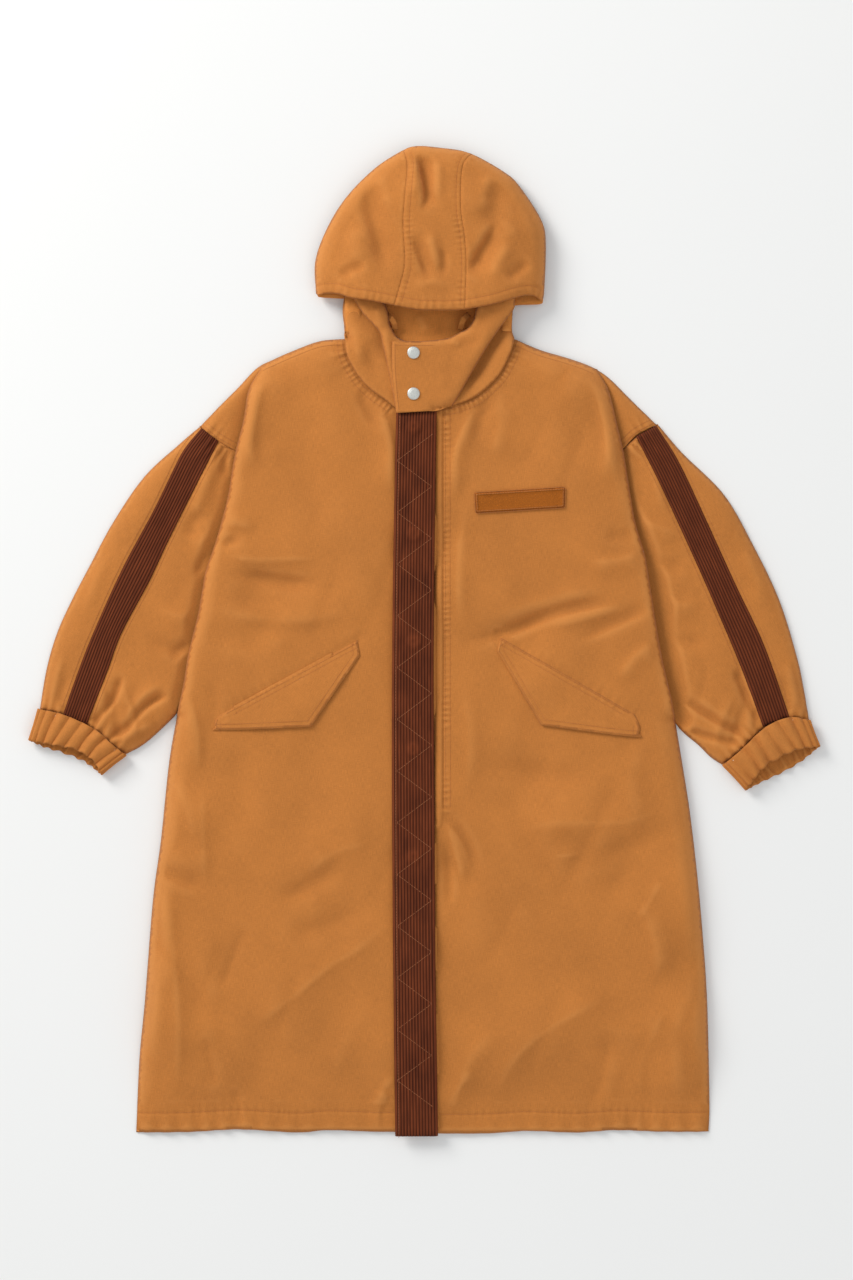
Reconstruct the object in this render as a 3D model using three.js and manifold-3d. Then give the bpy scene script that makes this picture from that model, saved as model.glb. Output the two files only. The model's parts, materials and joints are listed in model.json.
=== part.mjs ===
// A long hooded coat with a snap-and-zip front, laid flat on its back.
// Millimetres. +Z points up out of the coat's front, +Y towards the hood and +X towards the
// wearer's left. The origin is under the middle of the coat, on the surface that it lies on.

import * as THREE from "three";
import { mergeVertices } from "three/addons/utils/BufferGeometryUtils.js";
import Module from "manifold-3d";

const wasm = await Module();
wasm.setup();

// ---------------------------------------------------------------- driving dimensions

// Cloth and clearances
const CLOTH = 2; // a sewn panel with its seam allowances
const SEAT = 0.3; // between pieces that lie on each other
const SEAM_GAP = 0.6; // between panels that meet edge to edge

// Body, given as distance from the centre line and height up the coat
const HEM = { half: 357, y: -612 };
const SHOULDER_TIP = { half: 281, y: 269 };
const NECK = { half: 106, y: 376, drop: 86 };
const UNDERARM = { half: 240, y: 50 };
const BODY_LOFT = 18; // hollow between the back panel and the front panels
const SHOULDER_BULGE = 24;
const SIDE_BULGE = 13;
const NECK_SHIFT = 8; // the neck lies this far to the wearer's left of the hem's middle
const SHIFT_FROM_Y = -130; // the shift starts here and is whole at the shoulder tips

// The fold of the front panel over the sleeve, from the shoulder tip to the side corner
const SIDE_CORNER = { half: 305, y: -80 };
const ARM_FOLD = [
  [236, 262],
  [246, 225],
  [257, 165],
  [267, 117],
  [280, 58],
  [293, 0],
];

// Sleeves
const SLEEVE_LOFT = 12;
const SLEEVE_BULGE = 31;
const UNDERARM_BULGE = 12;
const CUFF_SEAM_OUT = { half: 482, y: -93 };
const CUFF_SEAM_IN = { half: 376, y: -146 };
const CUFF_END_OUT = { half: 493, y: -127 };
const CUFF_END_IN = { half: 403, y: -174 };
const CUFF_HEIGHT = 26;
const CUFF_WALL = 2.5;
const ELASTIC = 1.2;
const ARM_STRIPE = { width: 33, thick: 2.6, share: 0.4 }; // share of the way in along the cuff seam

// Front closure, as places across the coat
const ZIP_X = 6;
const ZIP_SLOT = 14; // between the two front edges
const ZIP_TOP_Y = 280;
const ZIP_BOTTOM_Y = -225;
const TAPE = { width: 16, thick: 1.4 };
const TEETH = { inner: 0.7, outer: 2.4, thick: 3 }; // each row, from the middle of the zip
const SLIDER = { width: 11, length: 17, wall: 1.3 };
const PULL = { width: 6, length: 30, thick: 0.9 };
const BRIDGE = { width: 2, length: 12, height: 2.6, bar: 1, post: 2 };
const FLY = { left: -35, right: 16, top: 290, bottom: -619 };
const FLY_BACKING = 1.5;
const CORDUROY = 2.6;
const FLY_LIFT = 4; // underside of the fly above the front panels, over the zip pull and the studs
const FLY_SEAM = 2; // width of the sewn strip on which the fly turns

// Press snaps
const SNAP_X = -13;
const SNAP_RADIUS = 6.5;
const SNAP_CAP_RADIUS = 7.7;
const STUD_RADIUS = 3;
const SHANK_RADIUS = 2;
const SNAP_DISC = 1.2;
const STUD_RISE = 1.8;
const HIDDEN_SNAP = { count: 5, top: 269, pitch: 134 };
const COLLAR_SNAPS = [360, 309];

// Collar, throat tab and hood
const FACE_OPENING = { half: 58, y: 421, drop: 51 };
const COLLAR_OVERLAP = 8;
const TAB = { left: -41, top: 372, thick: 2.5 };
const HOOD = { half: 144, spring: 490, top: 619, brim: 427, roundness: 1.8 };
const HOOD_LOFT = 42;
const HOOD_SEAM_HALF = 38;
const HOOD_CHEEK = { top: 452, side: 106, width: 16 };
const HOOD_HINGE = { half: 98, y: 383 };
const HOOD_LOOP = { width: 9, length: 15, thick: 2.4, y: 402 };
const HANGER = { length: 60, width: 8, thick: 1.6, rise: 5 };

// Pockets, in the flap's own frame: u down the sewn edge from its inner end, v away from it
const POCKET = { half: 88, y: 4, angle: 28.8 };
const FLAP = [
  [0, 0],
  [7, 18],
  [101, 69],
  [203, 21],
  [207, 17],
  [206, 7],
  [195, 0],
];
const FLAP_THICK = 2;
const FLAP_LIFT = 1.5; // the flap's underside above the front panel
const FLAP_ROOT = { start: 6, end: 190, width: 1.6 }; // the sewn strip on which it turns
const POCKET_SLIT = { start: 12, end: 182, near: 4, far: 18 };
const WELT = { start: 30, width: 11, thick: 0.9 };
const BAG = { depth: 160, wall: 1.5, height: 7.7, margin: 8 };

// Chest patch
const PATCH = { x: 64, y: 163, width: 112, height: 27, thick: 2, tilt: 2.5 };

const ROUND_STEPS = 20;

// ---------------------------------------------------------------- materials

const CANVAS_LOOK = { color: 0xc07a3e, roughness: 0.9, metalness: 0 };
const CORDUROY_LOOK = { color: 0x5f2a18, roughness: 1, metalness: 0 };
const METAL_LOOK = { color: 0xc9c9c2, roughness: 0.35, metalness: 0.9 };
const BRASS_LOOK = { color: 0x9c7a45, roughness: 0.4, metalness: 0.9 };
const TAPE_LOOK = { color: 0x8a5226, roughness: 0.9, metalness: 0 };
const ELASTIC_LOOK = { color: 0xd9cdb8, roughness: 0.9, metalness: 0 };

// ---------------------------------------------------------------- solids

const coat = new THREE.Group();

function addPiece(name, geometry, look) {
  const piece = new THREE.Mesh(geometry, new THREE.MeshStandardMaterial(look));
  piece.name = name;
  coat.add(piece);
}

function toSolid(geometry) {
  const bare = geometry.index ? geometry.toNonIndexed() : geometry.clone();
  bare.deleteAttribute("normal");
  bare.deleteAttribute("uv");
  const merged = mergeVertices(bare, 1e-4);
  return new wasm.Manifold(
    new wasm.Mesh({
      numProp: 3,
      vertProperties: merged.attributes.position.array,
      triVerts: new Uint32Array(merged.index.array),
    }),
  );
}

function toGeometry(solid) {
  const { vertProperties, triVerts } = solid.getMesh();
  return new THREE.BufferGeometry()
    .setAttribute("position", new THREE.BufferAttribute(vertProperties, 3))
    .setIndex(new THREE.BufferAttribute(triVerts, 1));
}

const join = (...solids) => solids.reduce((a, b) => a.add(b));
const cut = (solid, ...tools) => tools.reduce((a, b) => a.subtract(b), solid);

/** A flat solid with the given outline, between two heights. */
function plate(outline, low, high) {
  const shape = new THREE.Shape(outline.map(([x, y]) => new THREE.Vector2(x, y)));
  const geometry = new THREE.ExtrudeGeometry(shape, { depth: high - low, bevelEnabled: false });
  return toSolid(geometry.translate(0, 0, low));
}

const rectangle = (x0, y0, x1, y1) => [
  [x0, y0],
  [x1, y0],
  [x1, y1],
  [x0, y1],
];

/** A solid turned about a vertical axis from a closed [radius, height] profile. */
function turned(profile, x, y, z) {
  const points = profile.map(([r, h]) => new THREE.Vector2(r, h));
  points.push(points[0].clone());
  return new THREE.LatheGeometry(points, ROUND_STEPS).rotateX(Math.PI / 2).translate(x, y, z);
}

// ---------------------------------------------------------------- plane figures

const mix = (a, b, t) => a + (b - a) * t;
const at = ({ half, y }) => [half, y];

/** Points from a to b, pushed to the left of the way by bulge times shape(t). */
function bowed(a, b, bulge, steps, shape = (t) => Math.sin(Math.PI * t)) {
  const length = Math.hypot(b[0] - a[0], b[1] - a[1]);
  const left = [(a[1] - b[1]) / length, (b[0] - a[0]) / length];
  return Array.from({ length: steps + 1 }, (_, i) => {
    const t = i / steps;
    const out = bulge * shape(t);
    return [mix(a[0], b[0], t) + left[0] * out, mix(a[1], b[1], t) + left[1] * out];
  });
}

/** The path moved to its right by a distance. */
function shifted(path, distance) {
  return path.map((point, i) => {
    const before = path[Math.max(i - 1, 0)];
    const after = path[Math.min(i + 1, path.length - 1)];
    const along = [after[0] - before[0], after[1] - before[1]];
    const length = Math.hypot(...along);
    return [
      point[0] + (along[1] / length) * distance,
      point[1] - (along[0] / length) * distance,
    ];
  });
}

/** An upright wall that follows a path, on the path's right. */
const wall = (path, thick, low, high) =>
  plate([...path, ...shifted(path, thick).reverse()], low, high);

/** Points on the lower half of an ellipse, from angle to angle in degrees. */
function hollowArc(centreY, half, drop, from, to, steps) {
  return Array.from({ length: steps + 1 }, (_, i) => {
    const angle = THREE.MathUtils.degToRad(mix(from, to, i / steps));
    return [half * Math.cos(angle), centreY - drop * Math.sin(angle)];
  });
}

/** The angle on such an ellipse at a distance from its centre line. */
const angleAt = (x, half) => THREE.MathUtils.radToDeg(Math.acos(x / half));

/** How far the coat's centre line lies to the wearer's left at a height. */
function centreShift(y) {
  const share = (y - SHIFT_FROM_Y) / (SHOULDER_TIP.y - SHIFT_FROM_Y);
  return NECK_SHIFT * THREE.MathUtils.clamp(share, 0, 1);
}

/** Puts half-width points on the wearer's left (side 1) or right (side -1). */
const onSide = (side, points) => points.map(([half, y]) => [side * half + centreShift(y), y]);

const SIDES = [
  { side: 1, word: "left" },
  { side: -1, word: "right" },
];

// ---------------------------------------------------------------- heights of the layers

const FRONT_LOW = CLOTH + BODY_LOFT;
const FRONT_TOP = FRONT_LOW + CLOTH;
const SLEEVE_LOW = CLOTH + SLEEVE_LOFT;
const SLEEVE_TOP = SLEEVE_LOW + CLOTH;
const COLLAR_LOW = FRONT_TOP + SEAT;
const COLLAR_TOP = COLLAR_LOW + CLOTH;
const HOOD_LOW = CLOTH + HOOD_LOFT;
const HOOD_TOP = HOOD_LOW + CLOTH;
const FLY_Z = FRONT_TOP + FLY_LIFT;
const FLY_FACING_Z = FLY_Z + FLY_BACKING + SEAT;
const TAB_LOW = COLLAR_TOP + SEAT + SNAP_DISC + STUD_RISE + SNAP_DISC;

// ---------------------------------------------------------------- body outlines, as half widths

const neckPoint = at(NECK);
const tip = at(SHOULDER_TIP);
const shoulderLine = bowed(neckPoint, tip, SHOULDER_BULGE, 8);
const sleeveUnderarmLine = bowed(
  [UNDERARM.half, UNDERARM.y],
  at(CUFF_SEAM_IN),
  -UNDERARM_BULGE,
  8,
);
const sideLine = bowed(at(SIDE_CORNER), at(HEM), SIDE_BULGE, 8);
const bodyUnderarm = [UNDERARM.half - 3 * SEAM_GAP, UNDERARM.y + SEAM_GAP];
const bodyTip = [SHOULDER_TIP.half - 3 * SEAM_GAP, SHOULDER_TIP.y];

function backPanel() {
  const half = [
    at(HOOD_HINGE),
    ...shoulderLine.slice(0, -1),
    bodyTip,
    bodyUnderarm,
    ...sideLine,
  ];
  const outline = [...onSide(1, half), ...onSide(-1, half).reverse()];
  addPiece("back_panel", toGeometry(plate(outline, 0, CLOTH)), CANVAS_LOOK);
}

// ---------------------------------------------------------------- fronts and pockets

/** Moves points from the flap's frame to the coat's, on one side. */
function onFlap(side, points) {
  const turn = THREE.MathUtils.degToRad(POCKET.angle);
  const originX = side * POCKET.half + centreShift(POCKET.y);
  return points.map(([u, v]) => [
    originX + side * (u * Math.cos(turn) - v * Math.sin(turn)),
    POCKET.y - u * Math.sin(turn) - v * Math.cos(turn),
  ]);
}

const frontEdgeX = (side) => ZIP_X + (side * ZIP_SLOT) / 2;

function frontPanel(side, word) {
  const edgeX = frontEdgeX(side);
  const edgeHalf = side * (edgeX - NECK_SHIFT);
  const neckline = hollowArc(
    NECK.y,
    NECK.half,
    NECK.drop,
    0,
    angleAt(edgeHalf, NECK.half),
    10,
  );
  const outline = [
    [edgeX, HEM.y],
    ...onSide(side, [...sideLine].reverse()),
    ...onSide(side, [...ARM_FOLD].reverse()),
    ...onSide(side, [...shoulderLine].reverse()),
    ...onSide(side, neckline.slice(1)),
  ];
  const slit = rectangle(
    POCKET_SLIT.start,
    POCKET_SLIT.near,
    POCKET_SLIT.end,
    POCKET_SLIT.far,
  );
  const seamLow = CLOTH + SEAT;
  const sideWall = (path) =>
    wall(onSide(side, path), side * CLOTH, seamLow, FRONT_TOP);
  const shoulderPath = [...shoulderLine.slice(0, -1), bodyTip];
  const panel = join(
    plate(outline, FRONT_LOW, FRONT_TOP),
    sideWall(sideLine),
    sideWall(shoulderPath),
  );
  const opened = cut(panel, plate(onFlap(side, slit), FRONT_LOW - 1, FRONT_TOP + 1));
  addPiece(`${word}_front_panel`, toGeometry(opened), CANVAS_LOOK);
}

function pocketFlap(side, word) {
  const low = FRONT_TOP + FLAP_LIFT;
  const strip = rectangle(FLAP_ROOT.start, 0, FLAP_ROOT.end, FLAP_ROOT.width);
  const root = plate(onFlap(side, strip), FRONT_TOP + SEAT, low + FLAP_THICK);
  const flap = join(plate(onFlap(side, FLAP), low, low + FLAP_THICK), root);
  addPiece(`${word}_pocket_flap`, toGeometry(flap), CANVAS_LOOK);
}

function pocketWelt(side, word) {
  const low = FRONT_TOP + SEAT;
  const start = POCKET_SLIT.far + SEAM_GAP;
  const strip = rectangle(WELT.start, start, POCKET_SLIT.end, start + WELT.width);
  const welt = plate(onFlap(side, strip), low, low + WELT.thick);
  addPiece(`${word}_pocket_welt`, toGeometry(welt), CANVAS_LOOK);
}

/** A flat bag under the front panel, open only at the pocket's slit above it. */
function pocketBag(side, word) {
  const { margin, wall: skin, depth, height } = BAG;
  const mouth = onFlap(side, [
    [POCKET_SLIT.start - margin, POCKET_SLIT.near - 3],
    [POCKET_SLIT.end + margin, POCKET_SLIT.near - 3],
  ]);
  const outlineAt = (inset) => {
    const [inner, outer] = mouth;
    const bottom = outer[1] - depth + inset;
    return [
      [inner[0] + side * inset, inner[1] - inset * 1.3],
      [outer[0] - side * inset, outer[1] - inset * 1.3],
      [outer[0] - side * inset, bottom],
      [inner[0] + side * inset, bottom],
    ];
  };
  const top = FRONT_LOW - SEAT;
  const bag = cut(
    plate(outlineAt(0), top - height, top),
    plate(outlineAt(skin), top - height + skin, top + 1),
  );
  addPiece(`${word}_pocket_bag`, toGeometry(bag), TAPE_LOOK);
}

function chestPatch() {
  const turn = THREE.MathUtils.degToRad(PATCH.tilt);
  const corners = rectangle(0, 0, PATCH.width, PATCH.height).map(([u, v]) => [
    PATCH.x + u * Math.cos(turn) - v * Math.sin(turn),
    PATCH.y + u * Math.sin(turn) + v * Math.cos(turn),
  ]);
  const low = FRONT_TOP + SEAT;
  addPiece("chest_loop_patch", toGeometry(plate(corners, low, low + PATCH.thick)), BRASS_LOOK);
}

// ---------------------------------------------------------------- zip

const TAPE_Z = FRONT_LOW - SEAT - TAPE.thick;
const TEETH_Z = TAPE_Z + TAPE.thick / 2 - TEETH.thick / 2;
const ZIP_STOP_LENGTH = 7;
const WEDGE_LENGTH = 6; // free of teeth above the closed slider's wedge

function zipSide(side, word) {
  const tapeEdge = ZIP_X + side * (TEETH.outer + SEAT);
  const tapeX = [tapeEdge, tapeEdge + side * TAPE.width].sort((a, b) => a - b);
  const tape = plate(
    rectangle(tapeX[0], ZIP_BOTTOM_Y, tapeX[1], ZIP_TOP_Y),
    TAPE_Z,
    TAPE_Z + TAPE.thick,
  );
  addPiece(`${word}_zip_tape`, toGeometry(tape), TAPE_LOOK);

  const rowX = [ZIP_X + side * TEETH.inner, ZIP_X + side * TEETH.outer].sort((a, b) => a - b);
  const row = plate(
    rectangle(rowX[0], ZIP_BOTTOM_Y + ZIP_STOP_LENGTH, rowX[1], ZIP_TOP_Y - WEDGE_LENGTH),
    TEETH_Z,
    TEETH_Z + TEETH.thick,
  );
  addPiece(`${word}_zip_teeth`, toGeometry(row), BRASS_LOOK);
}

function zipStop() {
  const across = TEETH.outer;
  const outline = rectangle(
    ZIP_X - across,
    ZIP_BOTTOM_Y,
    ZIP_X + across,
    ZIP_BOTTOM_Y + ZIP_STOP_LENGTH - SEAT,
  );
  const stop = plate(outline, TEETH_Z, TEETH_Z + TEETH.thick);
  addPiece("zip_bottom_stop", toGeometry(stop), BRASS_LOOK);
}

const SLIDER_TOP_Y = ZIP_TOP_Y - 2;
const SLIDER_MID_Y = SLIDER_TOP_Y - SLIDER.length / 2;
const TEETH_ROOM = 0.5; // above and below the teeth inside the slider
const SLIDER_BOTTOM = TEETH_Z - TEETH_ROOM - SLIDER.wall;
const SLIDER_TOP = TEETH_Z + TEETH.thick + TEETH_ROOM + SLIDER.wall;

function zipSlider() {
  const half = SLIDER.width / 2;
  const y0 = SLIDER_TOP_Y - SLIDER.length;
  const body = plate(rectangle(ZIP_X - half, y0, ZIP_X + half, SLIDER_TOP_Y), SLIDER_BOTTOM, SLIDER_TOP);
  const channel = plate(
    rectangle(ZIP_X - half - 1, y0 - 1, ZIP_X + half + 1, SLIDER_TOP_Y + 1),
    TEETH_Z - TEETH_ROOM,
    TEETH_Z + TEETH.thick + TEETH_ROOM,
  );
  // A thin wedge joins the two plates and runs between the rows of teeth
  const wedgeHalf = TEETH.inner - SEAT;
  const wedge = plate(
    rectangle(ZIP_X - wedgeHalf, SLIDER_TOP_Y - WEDGE_LENGTH, ZIP_X + wedgeHalf, SLIDER_TOP_Y),
    SLIDER_BOTTOM,
    SLIDER_TOP,
  );
  const bridgeBox = (halfLength, from, to) =>
    plate(
      rectangle(
        ZIP_X - BRIDGE.width / 2,
        SLIDER_MID_Y - halfLength,
        ZIP_X + BRIDGE.width / 2,
        SLIDER_MID_Y + halfLength,
      ),
      from,
      to,
    );
  const arch = bridgeBox(BRIDGE.length / 2, SLIDER_TOP - SEAT, SLIDER_TOP + BRIDGE.height);
  const halfGap = BRIDGE.length / 2 - BRIDGE.post;
  const gap = bridgeBox(halfGap, SLIDER_TOP, SLIDER_TOP + BRIDGE.height - BRIDGE.bar);
  const slider = join(cut(join(body, arch), channel, gap), wedge);
  addPiece("zip_slider", toGeometry(slider), BRASS_LOOK);
}

/** The pull hangs from the bridge: its end bar lies under it, and a post stands in its eye. */
function zipPull() {
  const low = SLIDER_TOP + SEAT;
  const half = PULL.width / 2;
  const topY = SLIDER_MID_Y + 2;
  const endY = topY - PULL.length;
  const postY = SLIDER_MID_Y - BRIDGE.length / 2;
  const tab = plate(
    [
      [ZIP_X - half * 0.7, endY],
      [ZIP_X + half * 0.7, endY],
      [ZIP_X + half, endY + half],
      [ZIP_X + half, topY],
      [ZIP_X - half, topY],
      [ZIP_X - half, endY + half],
    ],
    low,
    low + PULL.thick,
  );
  const eyeHalf = BRIDGE.width / 2 + 2 * SEAT;
  const eye = plate(
    rectangle(ZIP_X - eyeHalf, postY - 2 * SEAT, ZIP_X + eyeHalf, topY - BRIDGE.post),
    low - 1,
    low + PULL.thick + 1,
  );
  addPiece("zip_pull", toGeometry(cut(tab, eye)), BRASS_LOOK);
}

// ---------------------------------------------------------------- fly, throat tab and snaps

const hiddenSnapYs = Array.from(
  { length: HIDDEN_SNAP.count },
  (_, i) => HIDDEN_SNAP.top - i * HIDDEN_SNAP.pitch,
);

const shankHole = (y, low, high) =>
  toSolid(
    turned(
      [
        [0, 0],
        [SHANK_RADIUS + SEAT, 0],
        [SHANK_RADIUS + SEAT, high - low],
        [0, high - low],
      ],
      SNAP_X,
      y,
      low,
    ),
  );

function flyBacking() {
  const top = FLY_Z + FLY_BACKING;
  const leaf = plate(
    rectangle(FLY.left + 2, FLY.bottom + 2, FLY.right, FLY.top - 2),
    FLY_Z,
    top,
  );
  const holes = hiddenSnapYs.map((y) => shankHole(y, FLY_Z - 1, top + 1));
  addPiece("fly_backing", toGeometry(cut(leaf, ...holes)), CANVAS_LOOK);
}

/** The folded strip that joins the fly to the front panel and the throat tab to the collar. */
function flySeam() {
  const strip = (fromY, toY, low) =>
    plate(rectangle(FLY.right - FLY_SEAM, fromY, FLY.right, toY), low, FLY_Z - SEAT);
  const alongFront = strip(HEM.y, ZIP_TOP_Y, FRONT_TOP + SEAT);
  const alongCollar = strip(ZIP_TOP_Y - 1, TAB.top, COLLAR_TOP + SEAT);
  addPiece("fly_seam", toGeometry(join(alongFront, alongCollar)), CANVAS_LOOK);
}

function flyFacing() {
  const strip = plate(
    rectangle(FLY.left, FLY.bottom, FLY.right, FLY.top),
    FLY_FACING_Z,
    FLY_FACING_Z + CORDUROY,
  );
  const recess = (y) =>
    toSolid(
      turned(
        [
          [0, 0],
          [SNAP_RADIUS + SEAT, 0],
          [SNAP_RADIUS + SEAT, SNAP_DISC + SEAT + 1],
          [0, SNAP_DISC + SEAT + 1],
        ],
        SNAP_X,
        y,
        FLY_FACING_Z - 1,
      ),
    );
  addPiece("fly_facing", toGeometry(cut(strip, ...hiddenSnapYs.map(recess))), CORDUROY_LOOK);
}

function throatTab() {
  const top = TAB_LOW + TAB.thick;
  const bottomY = FLY.top + SEAM_GAP;
  const leaf = plate(rectangle(TAB.left, bottomY, FLY.right, TAB.top), TAB_LOW, top);
  const holes = COLLAR_SNAPS.map((y) => shankHole(y, TAB_LOW - 1, top + 1));
  addPiece("throat_tab", toGeometry(cut(leaf, ...holes)), CANVAS_LOOK);
}

/** The male half: a flange on the cloth and a nub. */
function snapStud(name, y, seat) {
  const stud = turned(
    [
      [0, 0],
      [SNAP_RADIUS - 0.5, 0],
      [SNAP_RADIUS - 0.5, 0.8],
      [STUD_RADIUS - 0.4, 0.8],
      [STUD_RADIUS, STUD_RISE],
      [STUD_RADIUS - 0.8, STUD_RISE + 0.6],
      [0, STUD_RISE + 0.6],
    ],
    SNAP_X,
    y,
    seat + SEAT,
  );
  addPiece(name, stud, METAL_LOOK);
}

const SOCKET_DEPTH = 1.9;
const socketProfile = (under) => [
  [STUD_RADIUS + 0.7, under - SOCKET_DEPTH],
  [SNAP_RADIUS, under - SOCKET_DEPTH],
  [SNAP_RADIUS, under],
];

/** A hidden female half: the socket under the backing, its shank and its flat head above. */
function hiddenSnap(name, y) {
  const under = FLY_Z - SEAT;
  const head = FLY_Z + FLY_BACKING + SEAT;
  const female = turned(
    [
      [0, under - 0.5],
      [STUD_RADIUS + 0.7, under - 0.5],
      ...socketProfile(under),
      [SHANK_RADIUS, under],
      [SHANK_RADIUS, head],
      [SNAP_RADIUS, head],
      [SNAP_RADIUS - 0.6, head + SNAP_DISC],
      [0, head + SNAP_DISC],
    ],
    SNAP_X,
    y,
    0,
  );
  addPiece(name, female, METAL_LOOK);
}

/** The collar's snaps show: a domed cap over the tab, and a socket under it. */
function collarSnap(number, y) {
  const under = TAB_LOW - SEAT;
  const over = TAB_LOW + TAB.thick + SEAT;
  const shankEnd = under - 1.2;
  const cap = turned(
    [
      [0, shankEnd],
      [SHANK_RADIUS, shankEnd],
      [SHANK_RADIUS, over],
      [SNAP_CAP_RADIUS, over],
      [SNAP_CAP_RADIUS, over + 0.8],
      [SNAP_CAP_RADIUS - 1, over + 1.6],
      [SNAP_CAP_RADIUS / 2, over + 2.1],
      [0, over + 2.2],
    ],
    SNAP_X,
    y,
    0,
  );
  addPiece(`collar_snap_cap_${number}`, cap, METAL_LOOK);
  const socket = turned(
    [...socketProfile(under), [SHANK_RADIUS + SEAT, under], [SHANK_RADIUS + SEAT, under - 1]],
    SNAP_X,
    y,
    0,
  );
  addPiece(`collar_snap_socket_${number}`, socket, METAL_LOOK);
}

// ---------------------------------------------------------------- collar and hanger

function collar(side, word) {
  // The wearer's left collar ends just past the zip, and the right one meets it there
  const meetX = ZIP_X + 5 + (side * SEAM_GAP) / 2;
  const meetHalf = side * (meetX - NECK_SHIFT);
  const outerDrop = NECK.drop + COLLAR_OVERLAP;
  const lower = hollowArc(
    NECK.y,
    NECK.half,
    outerDrop,
    0,
    angleAt(meetHalf, NECK.half),
    10,
  );
  const { half, drop, y } = FACE_OPENING;
  const topY = HOOD_HINGE.y - SEAM_GAP / 2;
  const topAngle = THREE.MathUtils.radToDeg(Math.asin((y - topY) / drop));
  const upper = hollowArc(y, half, drop, angleAt(meetHalf, half), topAngle, 8);
  const outline = [...lower, ...upper, [NECK.half - 2, topY]];
  const panel = plate(onSide(side, outline), COLLAR_LOW, COLLAR_TOP);
  addPiece(`${word}_collar`, toGeometry(panel), CANVAS_LOOK);
}

function hangerLoop() {
  const y = NECK.y - 12;
  const x0 = NECK_SHIFT - HANGER.length / 2;
  const x1 = NECK_SHIFT + HANGER.length / 2;
  const low = CLOTH + SEAT;
  const band = plate(rectangle(x0, y, x1, y + HANGER.width), low, low + HANGER.rise);
  const hole = plate(
    rectangle(x0 + 8, y - 1, x1 - 8, y + HANGER.width + 1),
    low - 1,
    low + HANGER.rise - HANGER.thick,
  );
  addPiece("hanger_loop", toGeometry(cut(band, hole)), TAPE_LOOK);
}

// ---------------------------------------------------------------- hood

/** The hood's outline from its right brim corner over the top, moved in by an inset. */
function hoodDome(inset, steps) {
  const a = HOOD.half - inset;
  const b = HOOD.top - HOOD.spring - inset;
  const power = 2 / HOOD.roundness;
  const points = [];
  for (let i = 0; i <= steps; i++) {
    const angle = (Math.PI * i) / steps;
    const c = Math.cos(angle);
    points.push([
      NECK_SHIFT + a * Math.sign(c) * Math.abs(c) ** power,
      HOOD.spring + b * Math.sin(angle) ** power,
    ]);
  }
  return points;
}

function hoodPanels() {
  const corner = (side) => [NECK_SHIFT + side * (HOOD.half - 2), HOOD.brim];
  const dome = hoodDome(0, 24);
  const brimDip = [
    [NECK_SHIFT - 60, HOOD.brim - 6],
    [NECK_SHIFT, HOOD.brim - 11],
    [NECK_SHIFT + 60, HOOD.brim - 6],
  ];
  const path = [corner(-1), ...[...dome].reverse(), corner(1)];
  const shell = join(
    plate([...path, ...[...brimDip].reverse()], HOOD_LOW, HOOD_TOP),
    wall(path, CLOTH, CLOTH + SEAT, HOOD_TOP),
  );
  const far = 2 * HOOD.half;
  const strip = (x0, x1) =>
    plate(rectangle(NECK_SHIFT + x0, 0, NECK_SHIFT + x1, HOOD.top + 10), -1, HOOD_TOP + 1);
  const seam = HOOD_SEAM_HALF;
  const centre = shell.intersect(strip(-seam + SEAM_GAP / 2, seam - SEAM_GAP / 2));
  const left = shell.intersect(strip(seam + SEAM_GAP / 2, far));
  const right = shell.intersect(strip(-far, -seam - SEAM_GAP / 2));
  addPiece("hood_centre_panel", toGeometry(centre), CANVAS_LOOK);
  addPiece("hood_left_panel", toGeometry(left), CANVAS_LOOK);
  addPiece("hood_right_panel", toGeometry(right), CANVAS_LOOK);
}

function hoodBack() {
  const neckY = HOOD_HINGE.y + SEAM_GAP;
  const half = HOOD_HINGE.half;
  const outline = [
    [NECK_SHIFT + half, neckY],
    [NECK_SHIFT + HOOD.half - 2, HOOD.brim + 12],
    ...hoodDome(1, 24),
    [NECK_SHIFT - HOOD.half + 2, HOOD.brim + 12],
    [NECK_SHIFT - half, neckY],
  ];
  addPiece("hood_back_panel", toGeometry(plate(outline, 0, CLOTH)), CANVAS_LOOK);
}

function hoodCheek(side, word) {
  const { half, drop, y } = FACE_OPENING;
  const startY = HOOD_HINGE.y + SEAM_GAP / 2;
  const startAngle = THREE.MathUtils.radToDeg(Math.asin((y - startY) / drop));
  const face = hollowArc(y, half, drop, startAngle, 0, 6);
  const wallFace = HOOD.half - 2 - CLOTH - SEAM_GAP;
  const outline = [
    ...face,
    [half + 4, HOOD_CHEEK.top],
    [wallFace, HOOD_CHEEK.top],
    [wallFace, HOOD_CHEEK.top - HOOD_CHEEK.width],
    [HOOD_CHEEK.side + 4, HOOD.brim],
    [HOOD_CHEEK.side - 2, startY],
  ];
  const panel = plate(onSide(side, outline), COLLAR_LOW, COLLAR_TOP);
  addPiece(`${word}_hood_cheek`, toGeometry(panel), CANVAS_LOOK);
}

/** A short cloth loop sewn to the edge of the face opening, which holds the drawcord. */
function hoodLoop(side, word) {
  const { half, drop, y } = FACE_OPENING;
  const edge = half * Math.sqrt(1 - ((y - HOOD_LOOP.y) / drop) ** 2);
  const x = side * edge + NECK_SHIFT;
  const inner = x - side * 5;
  const outer = inner + side * HOOD_LOOP.width;
  const loop = plate(
    rectangle(
      Math.min(inner, outer),
      HOOD_LOOP.y - HOOD_LOOP.length / 2,
      Math.max(inner, outer),
      HOOD_LOOP.y + HOOD_LOOP.length / 2,
    ),
    COLLAR_TOP + SEAT,
    COLLAR_TOP + SEAT + HOOD_LOOP.thick,
  );
  addPiece(`${word}_hood_loop`, toGeometry(loop), TAPE_LOOK);
}

// ---------------------------------------------------------------- sleeves and cuffs

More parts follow.
